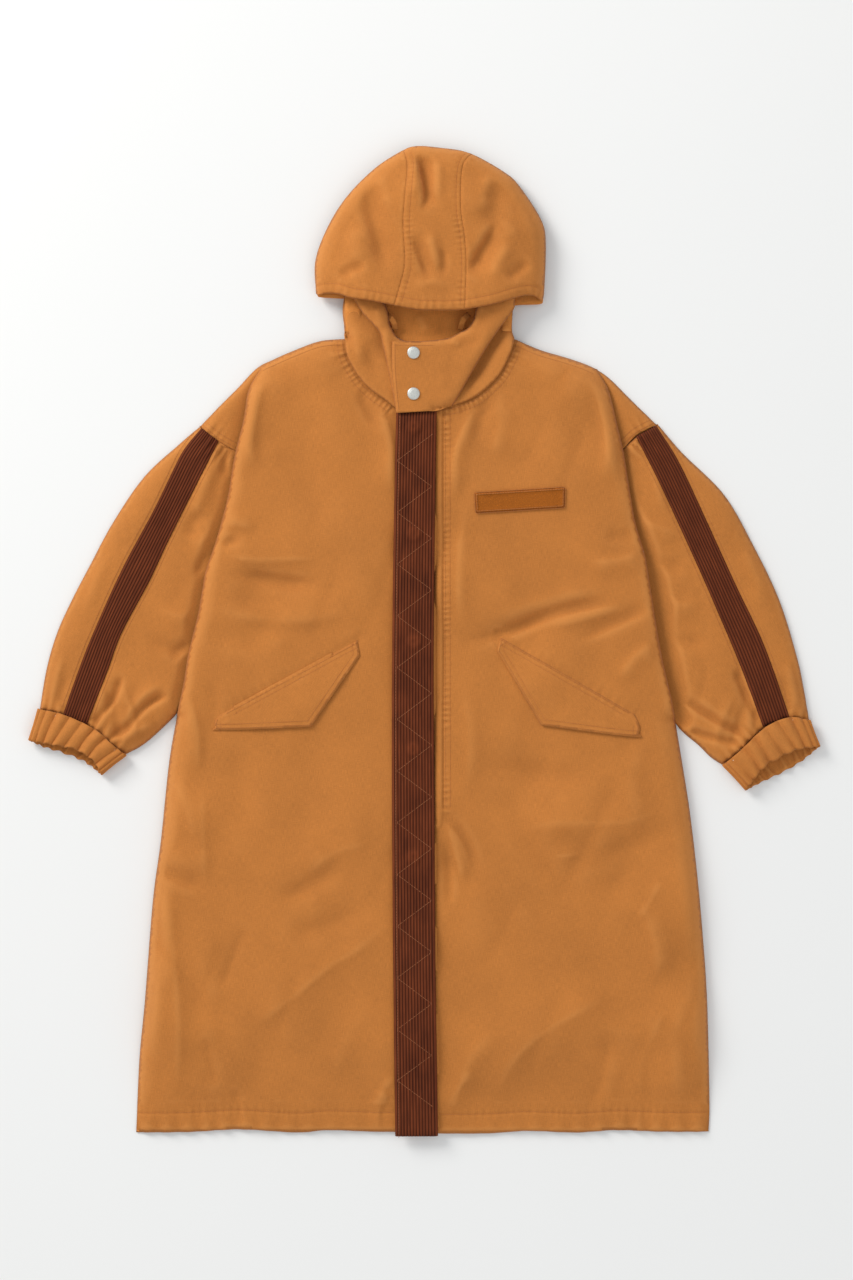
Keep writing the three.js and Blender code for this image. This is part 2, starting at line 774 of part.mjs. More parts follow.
const sleeveOuterLine = bowed(
  [SHOULDER_TIP.half + SEAM_GAP, SHOULDER_TIP.y - 2],
  at(CUFF_SEAM_OUT),
  SLEEVE_BULGE,
  14,
  (t) => Math.sin(Math.PI * t ** 0.75),
);

/** Half-width points of the whole sleeve, from the shoulder round the cuff seam to the armpit. */
function sleeveOutline() {
  const seamStop = SEAM_GAP;
  const nearCuff = ([half, y]) => [half - 0.2 * seamStop, y + seamStop];
  const outer = [...sleeveOuterLine];
  const inner = [...sleeveUnderarmLine];
  outer[outer.length - 1] = nearCuff(outer[outer.length - 1]);
  inner[inner.length - 1] = nearCuff(inner[inner.length - 1]);
  return { outer, inner };
}

function sleeve(side, word) {
  const { outer, inner } = sleeveOutline();
  const outline = onSide(side, [...outer, ...[...inner].reverse()]);

  addPiece(`${word}_sleeve_back`, toGeometry(plate(outline, 0, CLOTH)), CANVAS_LOOK);

  const stripeTop = [SHOULDER_TIP.half - 7, SHOULDER_TIP.y + 8];
  const stripeEnd = [
    mix(CUFF_SEAM_OUT.half, CUFF_SEAM_IN.half, ARM_STRIPE.share),
    mix(CUFF_SEAM_OUT.y, CUFF_SEAM_IN.y, ARM_STRIPE.share) - 10,
  ];
  const centreLine = onSide(side, [stripeTop, stripeEnd]);
  const band = (from, to) =>
    plate(
      [...shifted(centreLine, side * from), ...shifted(centreLine, side * to).reverse()],
      0,
      SLEEVE_TOP + ARM_STRIPE.thick,
    );
  const halfStripe = ARM_STRIPE.width / 2;
  const wide = HEM.half;
  const top = plate(outline, SLEEVE_LOW, SLEEVE_TOP);
  const low = CLOTH + SEAT;
  const outerWall = wall(onSide(side, outer), side * CLOTH, low, SLEEVE_TOP);
  const innerWall = wall(onSide(side, inner), -side * CLOTH, low, SLEEVE_TOP);

  const tube = join(top, outerWall, innerWall);
  const outerPanel = tube.intersect(band(-wide, -halfStripe - SEAM_GAP));
  const innerPanel = tube.intersect(band(halfStripe + SEAM_GAP, wide));
  addPiece(`${word}_sleeve_outer_panel`, toGeometry(largest(outerPanel)), CANVAS_LOOK);
  addPiece(`${word}_sleeve_inner_panel`, toGeometry(largest(innerPanel)), CANVAS_LOOK);

  const stripe = plate(outline, SLEEVE_LOW, SLEEVE_LOW + ARM_STRIPE.thick).intersect(
    band(-halfStripe, halfStripe),
  );
  addPiece(`${word}_sleeve_stripe`, toGeometry(largest(stripe)), CORDUROY_LOOK);
}

/** The biggest separate body of a solid. */
function largest(solid) {
  return solid.decompose().sort((a, b) => b.volume() - a.volume())[0];
}

/** An oval tube between the cuff's seam and its open end, at an inset from its outside. */
function cuffTube(side, inset, thick, from, to) {
  const mapped = ([u, w]) => {
    const outer = [
      mix(CUFF_SEAM_OUT.half, CUFF_END_OUT.half, w),
      mix(CUFF_SEAM_OUT.y, CUFF_END_OUT.y, w),
    ];
    const inner = [
      mix(CUFF_SEAM_IN.half, CUFF_END_IN.half, w),
      mix(CUFF_SEAM_IN.y, CUFF_END_IN.y, w),
    ];
    const width = Math.hypot(outer[0] - inner[0], outer[1] - inner[1]);
    const share = 0.5 + (u * (width / 2 - inset)) / width;
    return onSide(side, [[mix(inner[0], outer[0], share), mix(inner[1], outer[1], share)]])[0];
  };
  const steps = 28;
  const widthHere = Math.hypot(
    CUFF_SEAM_OUT.half - CUFF_SEAM_IN.half,
    CUFF_SEAM_OUT.y - CUFF_SEAM_IN.y,
  );
  const ring = (inward) => {
    const height = CUFF_HEIGHT / 2 - inset - inward;
    const share = 1 - inward / (widthHere / 2 - inset);
    return Array.from({ length: steps }, (_, i) => {
      const angle = (2 * Math.PI * i) / steps;
      const c = Math.cos(angle);
      const s = Math.sin(angle);
      return [
        share * Math.sign(c) * Math.abs(c) ** 0.6,
        CUFF_HEIGHT / 2 + height * Math.sign(s) * Math.abs(s) ** 0.6,
      ];
    });
  };
  const shape = new THREE.Shape(ring(0).map(([u, z]) => new THREE.Vector2(u, z)));
  shape.holes.push(new THREE.Path(ring(thick).map(([u, z]) => new THREE.Vector2(u, z))));
  const geometry = new THREE.ExtrudeGeometry(shape, { depth: 1, bevelEnabled: false });
  const position = geometry.attributes.position;
  for (let i = 0; i < position.count; i++) {
    const w = mix(from, to, position.getZ(i));
    const [x, y] = mapped([position.getX(i), w]);
    position.setXYZ(i, x, y, position.getY(i));
  }
  const solid = toSolid(geometry);
  return solid.volume() < 0 ? toSolid(turnedInsideOut(geometry)) : solid;
}

function turnedInsideOut(geometry) {
  const { array } = geometry.attributes.position;
  const flipped = array.slice();
  for (let i = 0; i < array.length; i += 9) {
    flipped.set(array.subarray(i + 3, i + 6), i + 6);
    flipped.set(array.subarray(i + 6, i + 9), i + 3);
  }
  return new THREE.BufferGeometry().setAttribute(
    "position",
    new THREE.BufferAttribute(flipped, 3),
  );
}

function cuff(side, word) {
  addPiece(`${word}_cuff`, toGeometry(cuffTube(side, 0, CUFF_WALL, 0, 1)), CANVAS_LOOK);
  const inset = CUFF_WALL + SEAT;
  const band = cuffTube(side, inset, ELASTIC, 0.15, 0.85);
  addPiece(`${word}_cuff_elastic`, toGeometry(band), ELASTIC_LOOK);
}

// ---------------------------------------------------------------- the whole coat

backPanel();
for (const { side, word } of SIDES) {
  frontPanel(side, word);
  pocketFlap(side, word);
  pocketWelt(side, word);
  pocketBag(side, word);
  zipSide(side, word);
  collar(side, word);
  hoodCheek(side, word);
  hoodLoop(side, word);
  sleeve(side, word);
  cuff(side, word);
}
chestPatch();
zipStop();
zipSlider();
zipPull();
flyBacking();
flyFacing();
flySeam();
throatTab();
hiddenSnapYs.forEach((y, i) => {
  snapStud(`front_snap_stud_${i + 1}`, y, FRONT_TOP);
  hiddenSnap(`front_snap_socket_${i + 1}`, y);
});
COLLAR_SNAPS.forEach((y, i) => {
  snapStud(`collar_snap_stud_${i + 1}`, y, COLLAR_TOP);
  collarSnap(i + 1, y);
});
hangerLoop();
hoodPanels();
hoodBack();

export default coat;
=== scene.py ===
"""Looks of a long hooded coat that lies on its back, seen from straight above.

Plan shapes and heights are written in millimetres in the frame of the CAD model and
become metres when a mesh is made.
"""

import json
import math

import bpy
import numpy as np
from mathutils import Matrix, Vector
from mathutils.geometry import delaunay_2d_cdt


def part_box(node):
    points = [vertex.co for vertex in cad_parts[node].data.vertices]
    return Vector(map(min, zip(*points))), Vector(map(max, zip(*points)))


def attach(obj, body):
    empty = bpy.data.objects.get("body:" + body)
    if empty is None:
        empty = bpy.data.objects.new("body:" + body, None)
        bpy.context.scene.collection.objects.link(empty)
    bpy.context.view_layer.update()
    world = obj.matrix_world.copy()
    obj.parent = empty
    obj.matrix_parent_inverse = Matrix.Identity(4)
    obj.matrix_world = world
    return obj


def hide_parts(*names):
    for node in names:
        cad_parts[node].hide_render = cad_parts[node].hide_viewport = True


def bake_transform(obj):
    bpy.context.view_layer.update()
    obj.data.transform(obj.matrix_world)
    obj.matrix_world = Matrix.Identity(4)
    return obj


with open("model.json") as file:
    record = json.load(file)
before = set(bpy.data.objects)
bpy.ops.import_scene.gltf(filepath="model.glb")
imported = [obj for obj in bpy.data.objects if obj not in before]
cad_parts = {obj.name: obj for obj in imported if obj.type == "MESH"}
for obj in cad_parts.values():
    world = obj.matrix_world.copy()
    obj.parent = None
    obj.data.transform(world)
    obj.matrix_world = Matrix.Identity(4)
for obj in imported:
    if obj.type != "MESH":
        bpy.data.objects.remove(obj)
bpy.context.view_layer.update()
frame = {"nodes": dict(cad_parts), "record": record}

MM = 0.001
CLOTH_MM = 0.8
CLOTH_MM_THIN = 0.6
FINE_STEP = 1.9  # between mesh points near a puckered seam
FINE_REACH = 9.0  # how far from the seam they are that close
SIDES = ("right", "left")  # the wearer's
CAMERA_LENS_MM, CAMERA_SENSOR_MM = 80, 36
CAMERA_PLACE = (0.0031, 0.0025, 3.57)
SKY_COLOUR, SKY_STRENGTH = (0.97, 0.985, 1, 1), 0.65
FLOOR_HALF_MM = 6000
SAME_POINT = 0.6  # points of an outline closer than this are one
BLOCK = 4000  # points handled at a time
LATTICE = 128  # values per side of the noise

# ------------------------------------------------------------------ camera, floor, light


def add_camera():
    """Straight above the coat, which lies with its hood towards the top of the picture."""
    data = bpy.data.cameras.new("camera")
    data.lens = CAMERA_LENS_MM
    data.sensor_width = CAMERA_SENSOR_MM
    camera = bpy.data.objects.new("camera", data)
    camera.location = CAMERA_PLACE
    bpy.context.scene.collection.objects.link(camera)
    bpy.context.scene.camera = camera


def add_area_light(name, place, size, power, colour):
    data = bpy.data.lights.new(name, "AREA")
    data.size = size
    data.energy = power
    data.color = colour
    light = bpy.data.objects.new(name, data)
    light.location = place
    light.rotation_euler = (-Vector(place)).to_track_quat("-Z", "Y").to_euler()
    bpy.context.scene.collection.objects.link(light)


def add_world():
    world = bpy.data.worlds.new("studio")
    world.use_nodes = True
    background = world.node_tree.nodes["Background"]
    background.inputs["Color"].default_value = SKY_COLOUR
    background.inputs["Strength"].default_value = SKY_STRENGTH
    bpy.context.scene.world = world


add_camera()
add_area_light("key_light", (-3.4, 3.2, 2.6), 2.2, 208, (1, 0.985, 0.96))
add_area_light("fill_light", (1.8, -2.2, 3.0), 2.6, 16, (0.95, 0.98, 1))
add_world()
bpy.context.scene.view_settings.view_transform = "Standard"

# ------------------------------------------------------------------ plane figures


def smooth_path(points, step=4.0):
    """A Catmull-Rom curve through the points, at nearly equal steps."""
    p = np.array(points, float)
    p = np.vstack([2 * p[0] - p[1], p, 2 * p[-1] - p[-2]])
    dense = []
    t = np.linspace(0, 1, 12, endpoint=False)[:, None]
    for a, b, c, d in zip(p[:-3], p[1:-2], p[2:-1], p[3:]):
        square, cube = 2 * a - 5 * b + 4 * c - d, 3 * b - a - 3 * c + d
        dense.append(0.5 * (2 * b + (c - a) * t + square * t**2 + cube * t**3))
    return resample(np.vstack([*dense, p[-2]]), step)


def resample(path, step):
    length = np.r_[0, np.cumsum(np.linalg.norm(np.diff(path, axis=0), axis=1))]
    count = max(2, int(round(length[-1] / step)) + 1)
    at = np.linspace(0, length[-1], count)
    return np.stack([np.interp(at, length, path[:, k]) for k in range(path.shape[1])], 1)


def straight(points, step=4.0):
    return resample(np.array(points, float), step)


def closed(*paths):
    """One closed outline, with the repeated points where the paths meet left out."""
    points = np.vstack(paths)
    keep = np.linalg.norm(points - np.roll(points, 1, axis=0), axis=1) > SAME_POINT
    return points[keep]


def nearest(points, path):
    """For each point: signed distance to the path (left is positive), share of the way, way."""
    a, d = path[:-1], np.diff(path, axis=0)
    size = np.linalg.norm(d, axis=1)
    way = np.r_[0, np.cumsum(size)]
    distance = np.empty(len(points))
    along = np.empty(len(points))
    for start in range(0, len(points), BLOCK):
        p = points[start : start + BLOCK, None, :]
        t = np.clip(((p - a) * d).sum(2) / size**2, 0, 1)
        gap = p - (a + t[..., None] * d)
        far = (gap**2).sum(2)
        k = far.argmin(1)
        row = np.arange(len(k))
        off = p[:, 0, :] - a[k]
        side = np.sign(d[k, 0] * off[:, 1] - d[k, 1] * off[:, 0])
        distance[start : start + BLOCK] = np.sqrt(far[row, k]) * np.where(side == 0, 1, side)
        along[start : start + BLOCK] = way[k] + t[row, k] * size[k]
    return distance, along / way[-1], along


def gap_to(points, path):
    """Each point's distance to the path."""
    return np.abs(nearest(points, path)[0])


def ringed(outline):
    """An outline as a path that comes back to its start."""
    return np.vstack([outline, outline[:1]])


def inside(points, outline):
    x, y = points[:, 0], points[:, 1]
    odd = np.zeros(len(points), bool)
    for (x0, y0), (x1, y1) in zip(outline, np.roll(outline, -1, axis=0)):
        if y0 != y1:
            crosses = (y0 > y) != (y1 > y)
            odd ^= crosses & (x < (x1 - x0) * (y - y0) / (y1 - y0) + x0)
    return odd


# ------------------------------------------------------------------ height figures


def ease(t):
    t = np.clip(t, 0, 1)
    return t * t * (3 - 2 * t)


def roll(distance, radius):
    """A rounded edge: 0 at the edge, 1 from the radius inwards."""
    t = np.clip(distance / radius, 0, 1)
    return np.sqrt(1 - (1 - t) ** 2)


def drop(distance, radius):
    """The same edge from the other side: 1 at the edge, 0 from the radius inwards."""
    return 1 - roll(distance, radius)


def rim_of(points, path, radius):
    return drop(gap_to(points, path), radius)


def bell(distance, width):
    return np.exp(-((distance / width) ** 2))


def noise(points, scale, seed):
    """Smooth seeded noise from -1 to 1. scale is one size or one per axis, in mm."""
    values = np.random.default_rng(seed).uniform(-1, 1, (LATTICE, LATTICE))
    q = points / np.array(scale, float) + LATTICE // 2
    i = np.floor(q).astype(int)
    f = q - i
    f = f * f * f * (f * (f * 6 - 15) + 10)
    i0, i1 = i % LATTICE, (i + 1) % LATTICE
    low = values[i0[:, 0], i0[:, 1]] * (1 - f[:, 0]) + values[i1[:, 0], i0[:, 1]] * f[:, 0]
    high = values[i0[:, 0], i1[:, 1]] * (1 - f[:, 0]) + values[i1[:, 0], i1[:, 1]] * f[:, 0]
    return low * (1 - f[:, 1]) + high * f[:, 1]


def facets(points, scale, degrees, seed):
    """Flat fields that meet in soft creases, as pressed cloth has. From 0 to about 0.8."""
    n = noise(turned(points, degrees), scale, seed)
    return np.sqrt(n * n + 0.03)


def turned(points, degrees):
    c, s = math.cos(math.radians(degrees)), math.sin(math.radians(degrees))
    return np.stack([points[:, 0] * c + points[:, 1] * s, points[:, 1] * c - points[:, 0] * s], 1)


def fold(points, way, height, width, steep=0.0, taper=0.35):
    """A ridge (or a valley) along a path. steep above 0 makes its right side the steeper."""
    path = smooth_path(way, 6)
    distance, share, _ = nearest(points, path)
    w = width * (1 + steep * np.sign(distance))
    ends = ease(share / taper) * ease((1 - share) / taper)
    return height * ends * bell(distance, w)


def crease(points, way, height, left, right, taper=0.3):
    """A sharp ridge (or valley) that falls away over one width to its left, one to its right."""
    distance, share, _ = nearest(points, smooth_path(way, 6))
    width = np.where(distance > 0, left, right)
    ends = ease(share / taper) * ease((1 - share) / taper)
    return height * ends * np.exp(-np.sqrt(distance**2 + 3) / width)


def folds(points, table):
    total = np.zeros(len(points))
    for entry in table:
        total += fold(points, *entry)
    return total


def pucker(points, path, pitch, height, reach, seed):
    """Small ripples across a sewn line, with a slight groove on the line itself."""
    distance, _, along = nearest(points, path)
    line = np.stack([along, np.zeros(len(along))], 1)
    wander = noise(line, pitch * 2.3, seed) * 2.2
    strength = 0.55 + 0.45 * noise(line, pitch * 3.7, seed + 1)
    ripple = np.sin(2 * np.pi * along / pitch + wander) * bell(distance, reach)
    return height * strength * ripple


def groove(points, path, depth, width):
    distance, _, _ = nearest(points, path)
    return -depth * bell(distance, width)


# ------------------------------------------------------------------ meshes


def new_object(name, vertices, faces, body, smooth=True):
    mesh = bpy.data.meshes.new(name)
    mesh.from_pydata((np.asarray(vertices) * MM).tolist(), [], faces)
    mesh.update()
    if smooth:
        mesh.polygons.foreach_set("use_smooth", [True] * len(mesh.polygons))
    piece = bpy.data.objects.new(name, mesh)
    bpy.context.scene.collection.objects.link(piece)
    if body:
        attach(piece, body)
    return piece


def add_attribute(piece, name, values):
    values = np.asarray(values, np.float32)
    kind = "FLOAT_VECTOR" if values.ndim == 2 else "FLOAT"
    attribute = piece.data.attributes.new(name, kind, "POINT")
    attribute.data.foreach_set("vector" if values.ndim == 2 else "value", values.ravel())


def triangles_of(faces):
    faces = np.asarray(faces)
    if faces.shape[1] == 3:
        return faces
    return np.vstack([faces[:, [0, 1, 2]], faces[:, [0, 2, 3]]])


def vertex_normals(vertices, faces):
    t = triangles_of(faces)
    a, b, c = vertices[t[:, 0]], vertices[t[:, 1]], vertices[t[:, 2]]
    face = np.cross(b - a, c - a)
    total = np.zeros_like(vertices)
    for k in range(3):
        np.add.at(total, t[:, k], face)
    return total / np.maximum(np.linalg.norm(total, axis=1), 1e-9)[:, None]


def relief(vertices, faces, rounds=3):
    """How far each vertex stands above its neighbourhood, in mm."""
    t = triangles_of(faces)
    pairs = np.vstack([t[:, [0, 1]], t[:, [1, 2]], t[:, [2, 0]]])
    pairs = np.vstack([pairs, pairs[:, ::-1]])
    count = np.maximum(np.bincount(pairs[:, 0], minlength=len(vertices)), 1)
    z = vertices[:, 2].copy()
    for _ in range(rounds):
        z = 0.5 * z + 0.5 * np.bincount(pairs[:, 0], z[pairs[:, 1]], len(vertices)) / count
    return vertices[:, 2] - z


def thicken(vertices, faces, thick):
    """A closed thin shell under an open sheet."""
    faces = np.asarray(faces)
    lower = vertices - vertex_normals(vertices, faces) * thick
    n = len(vertices)
    size = faces.shape[1]
    edges = np.vstack([faces[:, [k, (k + 1) % size]] for k in range(size)])
    key = np.sort(edges, axis=1)
    _, index, uses = np.unique(key, axis=0, return_index=True, return_counts=True)
    rim = edges[index[uses == 1]]
    shell = [*faces.tolist(), *(faces[:, ::-1] + n).tolist()]
    shell += [[a, a + n, b + n, b] for a, b in rim.tolist()]
    return np.vstack([vertices, lower]), shell


def lattice(outline, step):
    low, high = outline.min(0), outline.max(0)
    rows = np.arange(low[1] + step / 2, high[1], step * 0.87)
    points = []
    for k, y in enumerate(rows):
        xs = np.arange(low[0] + step * (0.25 + 0.5 * (k % 2)), high[0], step)
        points.append(np.stack([xs, np.full(len(xs), y)], 1))
    points = np.vstack(points)
    points = points[inside(points, outline)]
    return points[gap_to(points, ringed(outline)) > 0.5 * step]


def grid_in(outline, step, fine=()):
    """Vertices and triangles that fill an outline, closer together near the fine paths."""
    points = lattice(outline, step)
    if fine:
        dense = lattice(outline, FINE_STEP)
        near = [gap_to(dense, path) < FINE_REACH for path in fine]
        dense = dense[np.any(near, axis=0)]
        coarse = [gap_to(points, path) > FINE_REACH + 0.6 * step for path in fine]
        points = np.vstack([points[np.all(coarse, axis=0)], dense])
    everything = np.vstack([outline, points])
    found = delaunay_2d_cdt([Vector(p) for p in everything], [], [list(range(len(outline)))], 1,
        1e-4)
    vertices = np.array([tuple(v) for v in found[0]])
    faces = np.array([f for f in found[2] if len(f) == 3])
    return vertices, faces


def declare(plan, area):
    """Works out the cloth's cut: its own width and length before it was laid, and its area, in
    metres. The values are not kept.
    """
    boxes = [np.ptp(turned(plan, degrees), axis=0) * MM for degrees in range(0, 90, 6)]
    width, length = min(boxes, key=lambda box: box[0] * box[1])
    area *= MM * MM
    grow = max(1.0, math.sqrt(area / (0.97 * width * length)))
    width, length = round(width * grow, 4), round(length * grow, 4)
    area = float(np.clip(area, 0.31 * width * length, 0.995 * width * length))


def surface_area(vertices, faces):
    t = triangles_of(faces)
    a, b, c = vertices[t[:, 0]], vertices[t[:, 1]], vertices[t[:, 2]]
    return np.linalg.norm(np.cross(b - a, c - a), axis=1).sum() / 2


def finish_cloth(name, vertices, faces, look, body, flat, replaces, held, thick):
    shell, shell_faces = thicken(vertices, faces, thick)
    piece = new_object(name, shell, shell_faces, body)
    add_attribute(piece, "flat", np.vstack([flat, flat]))
    # The relief makes ridges worn paler and puts painted shade in the hollows.
    height = relief(vertices, faces)
    add_attribute(piece, "wear_and_shade", np.r_[height, height])
    piece.data.materials.append(looks[look])
    if replaces:
        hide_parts(*replaces)
    if held:
        area = surface_area(vertices, faces)
        declare(flat[:, :2], area)
    return piece


def cloth(name, outline, height, body="coat", look="canvas", step=5.0, warp=0.0, replaces=(),
    held="laid", thick=CLOTH_MM, fine=()):
    """A piece of cloth with a plan outline and a height over each plan point."""
    plan, faces = grid_in(outline, step, fine)
    vertices = np.column_stack([plan, height(plan)])
    flat = np.column_stack([turned(plan, warp), np.zeros(len(plan))])
    return finish_cloth(name, vertices, faces, look, body, flat, replaces, held, thick)


def grid_faces(rows, columns):
    grid = np.arange(rows * columns).reshape(rows, columns)
    corners = [grid[:-1, :-1], grid[:-1, 1:], grid[1:, 1:], grid[1:, :-1]]
    return np.stack(corners, 2).reshape(-1, 4)


def tube_cloth(name, surface, around, along, look, body, replaces):
    """Cloth from a function of two shares (around, along), as a mesh of four-sided faces."""
    u = np.linspace(0, 1, around, endpoint=False)
    v = np.linspace(0, 1, along)
    uu, vv = np.meshgrid(u, v)
    vertices, flat = surface(uu.ravel(), vv.ravel())
    faces = []
    for j in range(along - 1):
        for i in range(around):
            a, b = j * around + i, j * around + (i + 1) % around
            faces.append([a, b, b + around, a + around])
    return finish_cloth(name, vertices, faces, look, body, flat, replaces, "gathered",
        1.0)


STITCH_RINGS = ((-0.62, 0.25), (-0.45, 0.85), (0.0, 1.0), (0.45, 0.85), (0.62, 0.25))
STITCH_SIDES = 5


def stitching(name, lines, body, look="thread", pitch=3.3, length=2.5, radius=0.32):
    """Rows of short thread pieces. Each line is (path, height over a plan point)."""
    vertices, faces = [], []
    ring = 2 * np.pi * np.arange(STITCH_SIDES) / STITCH_SIDES
    for path, height in lines:
        spots = resample(path, pitch)
        direction = np.gradient(spots, axis=0)
        direction /= np.linalg.norm(direction, axis=1)[:, None]
        ends = [spots + direction * length * share for share in (-0.5, 0.5)]
        z0, z1 = (height(e) for e in ends)
        middle = np.column_stack([spots, (z0 + z1) / 2 + 0.3 * radius])
        axis = np.column_stack([direction, (z1 - z0) / length])
        axis /= np.linalg.norm(axis, axis=1)[:, None]
        across = np.column_stack([-direction[:, 1], direction[:, 0], np.zeros(len(spots))])
        up = np.cross(axis, across)
        for k in range(len(spots)):
            base = len(vertices)
            for share, swell in STITCH_RINGS:
                for angle in ring:
                    around = across[k] * math.cos(angle) + up[k] * math.sin(angle)
                    vertices.append(middle[k] + axis[k] * length * share + around * radius * swell)
            for j in range(len(STITCH_RINGS) - 1):
                for i in range(STITCH_SIDES):
                    a = base + j * STITCH_SIDES + i
                    b = base + j * STITCH_SIDES + (i + 1) % STITCH_SIDES
                    faces.append([a, b, b + STITCH_SIDES, a + STITCH_SIDES])
            last = base + (len(STITCH_RINGS) - 1) * STITCH_SIDES
            faces.append([base + i for i in range(STITCH_SIDES)][::-1])
            faces.append([last + i for i in range(STITCH_SIDES)])
    piece = new_object(name, vertices, faces, body)
    piece.data.materials.append(looks[look])
    return piece


# ------------------------------------------------------------------ looks


class Look:
    """A node material, built from its principled shader backwards."""

    def __init__(self, name, roughness, metallic=0.0, sheen=0.0, sheen_roughness=0.4):
        self.material = bpy.data.materials.new(name)
        self.material.use_nodes = True
        self.tree = self.material.node_tree
        self.shader = self.tree.nodes["Principled BSDF"]
        self.shader.inputs["Roughness"].default_value = roughness
        self.shader.inputs["Metallic"].default_value = metallic
        self.shader.inputs["Sheen Weight"].default_value = sheen
        self.shader.inputs["Sheen Roughness"].default_value = sheen_roughness
        self.shader.inputs["Specular IOR Level"].default_value = 0.5 if metallic else 0.25

    def link(self, source, target):
        self.tree.links.new(source, target)

    def feed(self, socket, value):
        """A value that comes from a node is linked; a constant is set on the socket."""
        if isinstance(value, bpy.types.NodeSocket):
            self.link(value, socket)
        else:
            socket.default_value = value

    def node(self, kind, **inputs):
        node = self.tree.nodes.new(kind)
        for key, value in inputs.items():
            self.feed(node.inputs[key.replace("_", " ")], value)
        return node

    def attribute(self, name):
        node = self.tree.nodes.new("ShaderNodeAttribute")
        node.attribute_name = name
        return node

    def math(self, operation, a, b=0.0, clamp=False):
        node = self.tree.nodes.new("ShaderNodeMath")
        node.operation = operation
        node.use_clamp = clamp
        for socket, value in zip(node.inputs, (a, b)):
            self.feed(socket, value)
        return node.outputs[0]

    def scaled(self, vector, scale):
        node = self.tree.nodes.new("ShaderNodeVectorMath")
        node.operation = "MULTIPLY"
        self.link(vector, node.inputs[0])
        node.inputs[1].default_value = scale
        return node.outputs[0]

    def speckle(self, vector, scale, detail=2.0, roughness=0.5):
        return self.node("ShaderNodeTexNoise", Vector=self.scaled(vector, scale), Scale=1.0,
            Detail=detail, Roughness=roughness).outputs["Fac"]

    def mix(self, share, a, b):
        node = self.tree.nodes.new("ShaderNodeMix")
        node.data_type = "RGBA"
        for index, value in ((0, share), (6, a), (7, b)):
            self.feed(node.inputs[index], value)
        return node.outputs[2]

    def ramp(self, value, low, high):
        node = self.tree.nodes.new("ShaderNodeMapRange")
        self.link(value, node.inputs["Value"])
        node.inputs["From Min"].default_value = low
        node.inputs["From Max"].default_value = high
        return node.outputs["Result"]

    def bump(self, height, strength, distance_mm, below=None):
        node = self.tree.nodes.new("ShaderNodeBump")
        node.inputs["Strength"].default_value = strength
        node.inputs["Distance"].default_value = distance_mm * MM
        self.link(height, node.inputs["Height"])
        if below:
            self.link(below, node.inputs["Normal"])
        return node.outputs["Normal"]

    def colour(self, socket):
        self.link(socket, self.shader.inputs["Base Color"])

    def normal(self, socket):
        self.link(socket, self.shader.inputs["Normal"])


def shade(colour, factor):
    return (*[min(1.0, c * factor) for c in colour], 1)


def canvas_look(name, colour):
    """Garment-washed cotton twill: slubs, fine diagonal lines, worn paler on what stands proud,
    with painted shade darker in the hollows.
    """
    look = Look(name, 0.86, sheen=0.05, sheen_roughness=0.5)
    flat = look.attribute("flat").outputs["Vector"]
    wear_and_shade = look.attribute("wear_and_shade").outputs["Fac"]
    warp = look.speckle(flat, (1.9, 0.12, 1.0), 3.0)
    weft = look.speckle(flat, (0.14, 1.7, 1.0), 3.0)
    cloud = look.speckle(flat, (0.012, 0.012, 1.0), 4.0, 0.6)
    grain = look.speckle(flat, (1.1, 1.1, 1.0), 2.0)
    tone = look.math("ADD", look.math("MULTIPLY", warp, 0.3), look.math("MULTIPLY", weft, 0.22))
    tone = look.math("ADD", tone, look.math("MULTIPLY", cloud, 0.2))
    tone = look.math("ADD", tone, look.math("MULTIPLY", grain, 0.18))
    plain = look.mix(look.ramp(tone, 0.32, 0.6), shade(colour, 0.76), shade(colour, 1.24))
    proud = look.math("MULTIPLY", look.ramp(wear_and_shade, 0.02, 0.5), 0.5)
    # Painted shade: the colour darkens where the cloth lies lower than its neighbourhood, in
    # creases and hollows.
    crease_shade = look.math("MULTIPLY", look.ramp(wear_and_shade, -0.05, -0.7), 0.3)
    pale = (colour[0] * 1.22, colour[1] * 1.36, colour[2] * 1.7)
    worn = look.mix(proud, plain, shade(pale, 1))
    look.colour(look.mix(crease_shade, worn, shade(colour, 0.62)))
    twill = look.node("ShaderNodeTexWave", Vector=flat, Scale=0.62, Distortion=1.2, Detail=1.0)
    twill.bands_direction = "DIAGONAL"
    lines = look.bump(twill.outputs["Fac"], 0.5, 0.16)
    slubs = look.bump(look.math("ADD", warp, weft), 0.8, 0.3, lines)
    crumple = look.speckle(flat, (0.16, 0.16, 1.0), 4.0, 0.62)
    soft = look.bump(crumple, 0.2, 1.4, slubs)
    look.normal(look.bump(grain, 0.5, 0.2, soft))
    return look.material


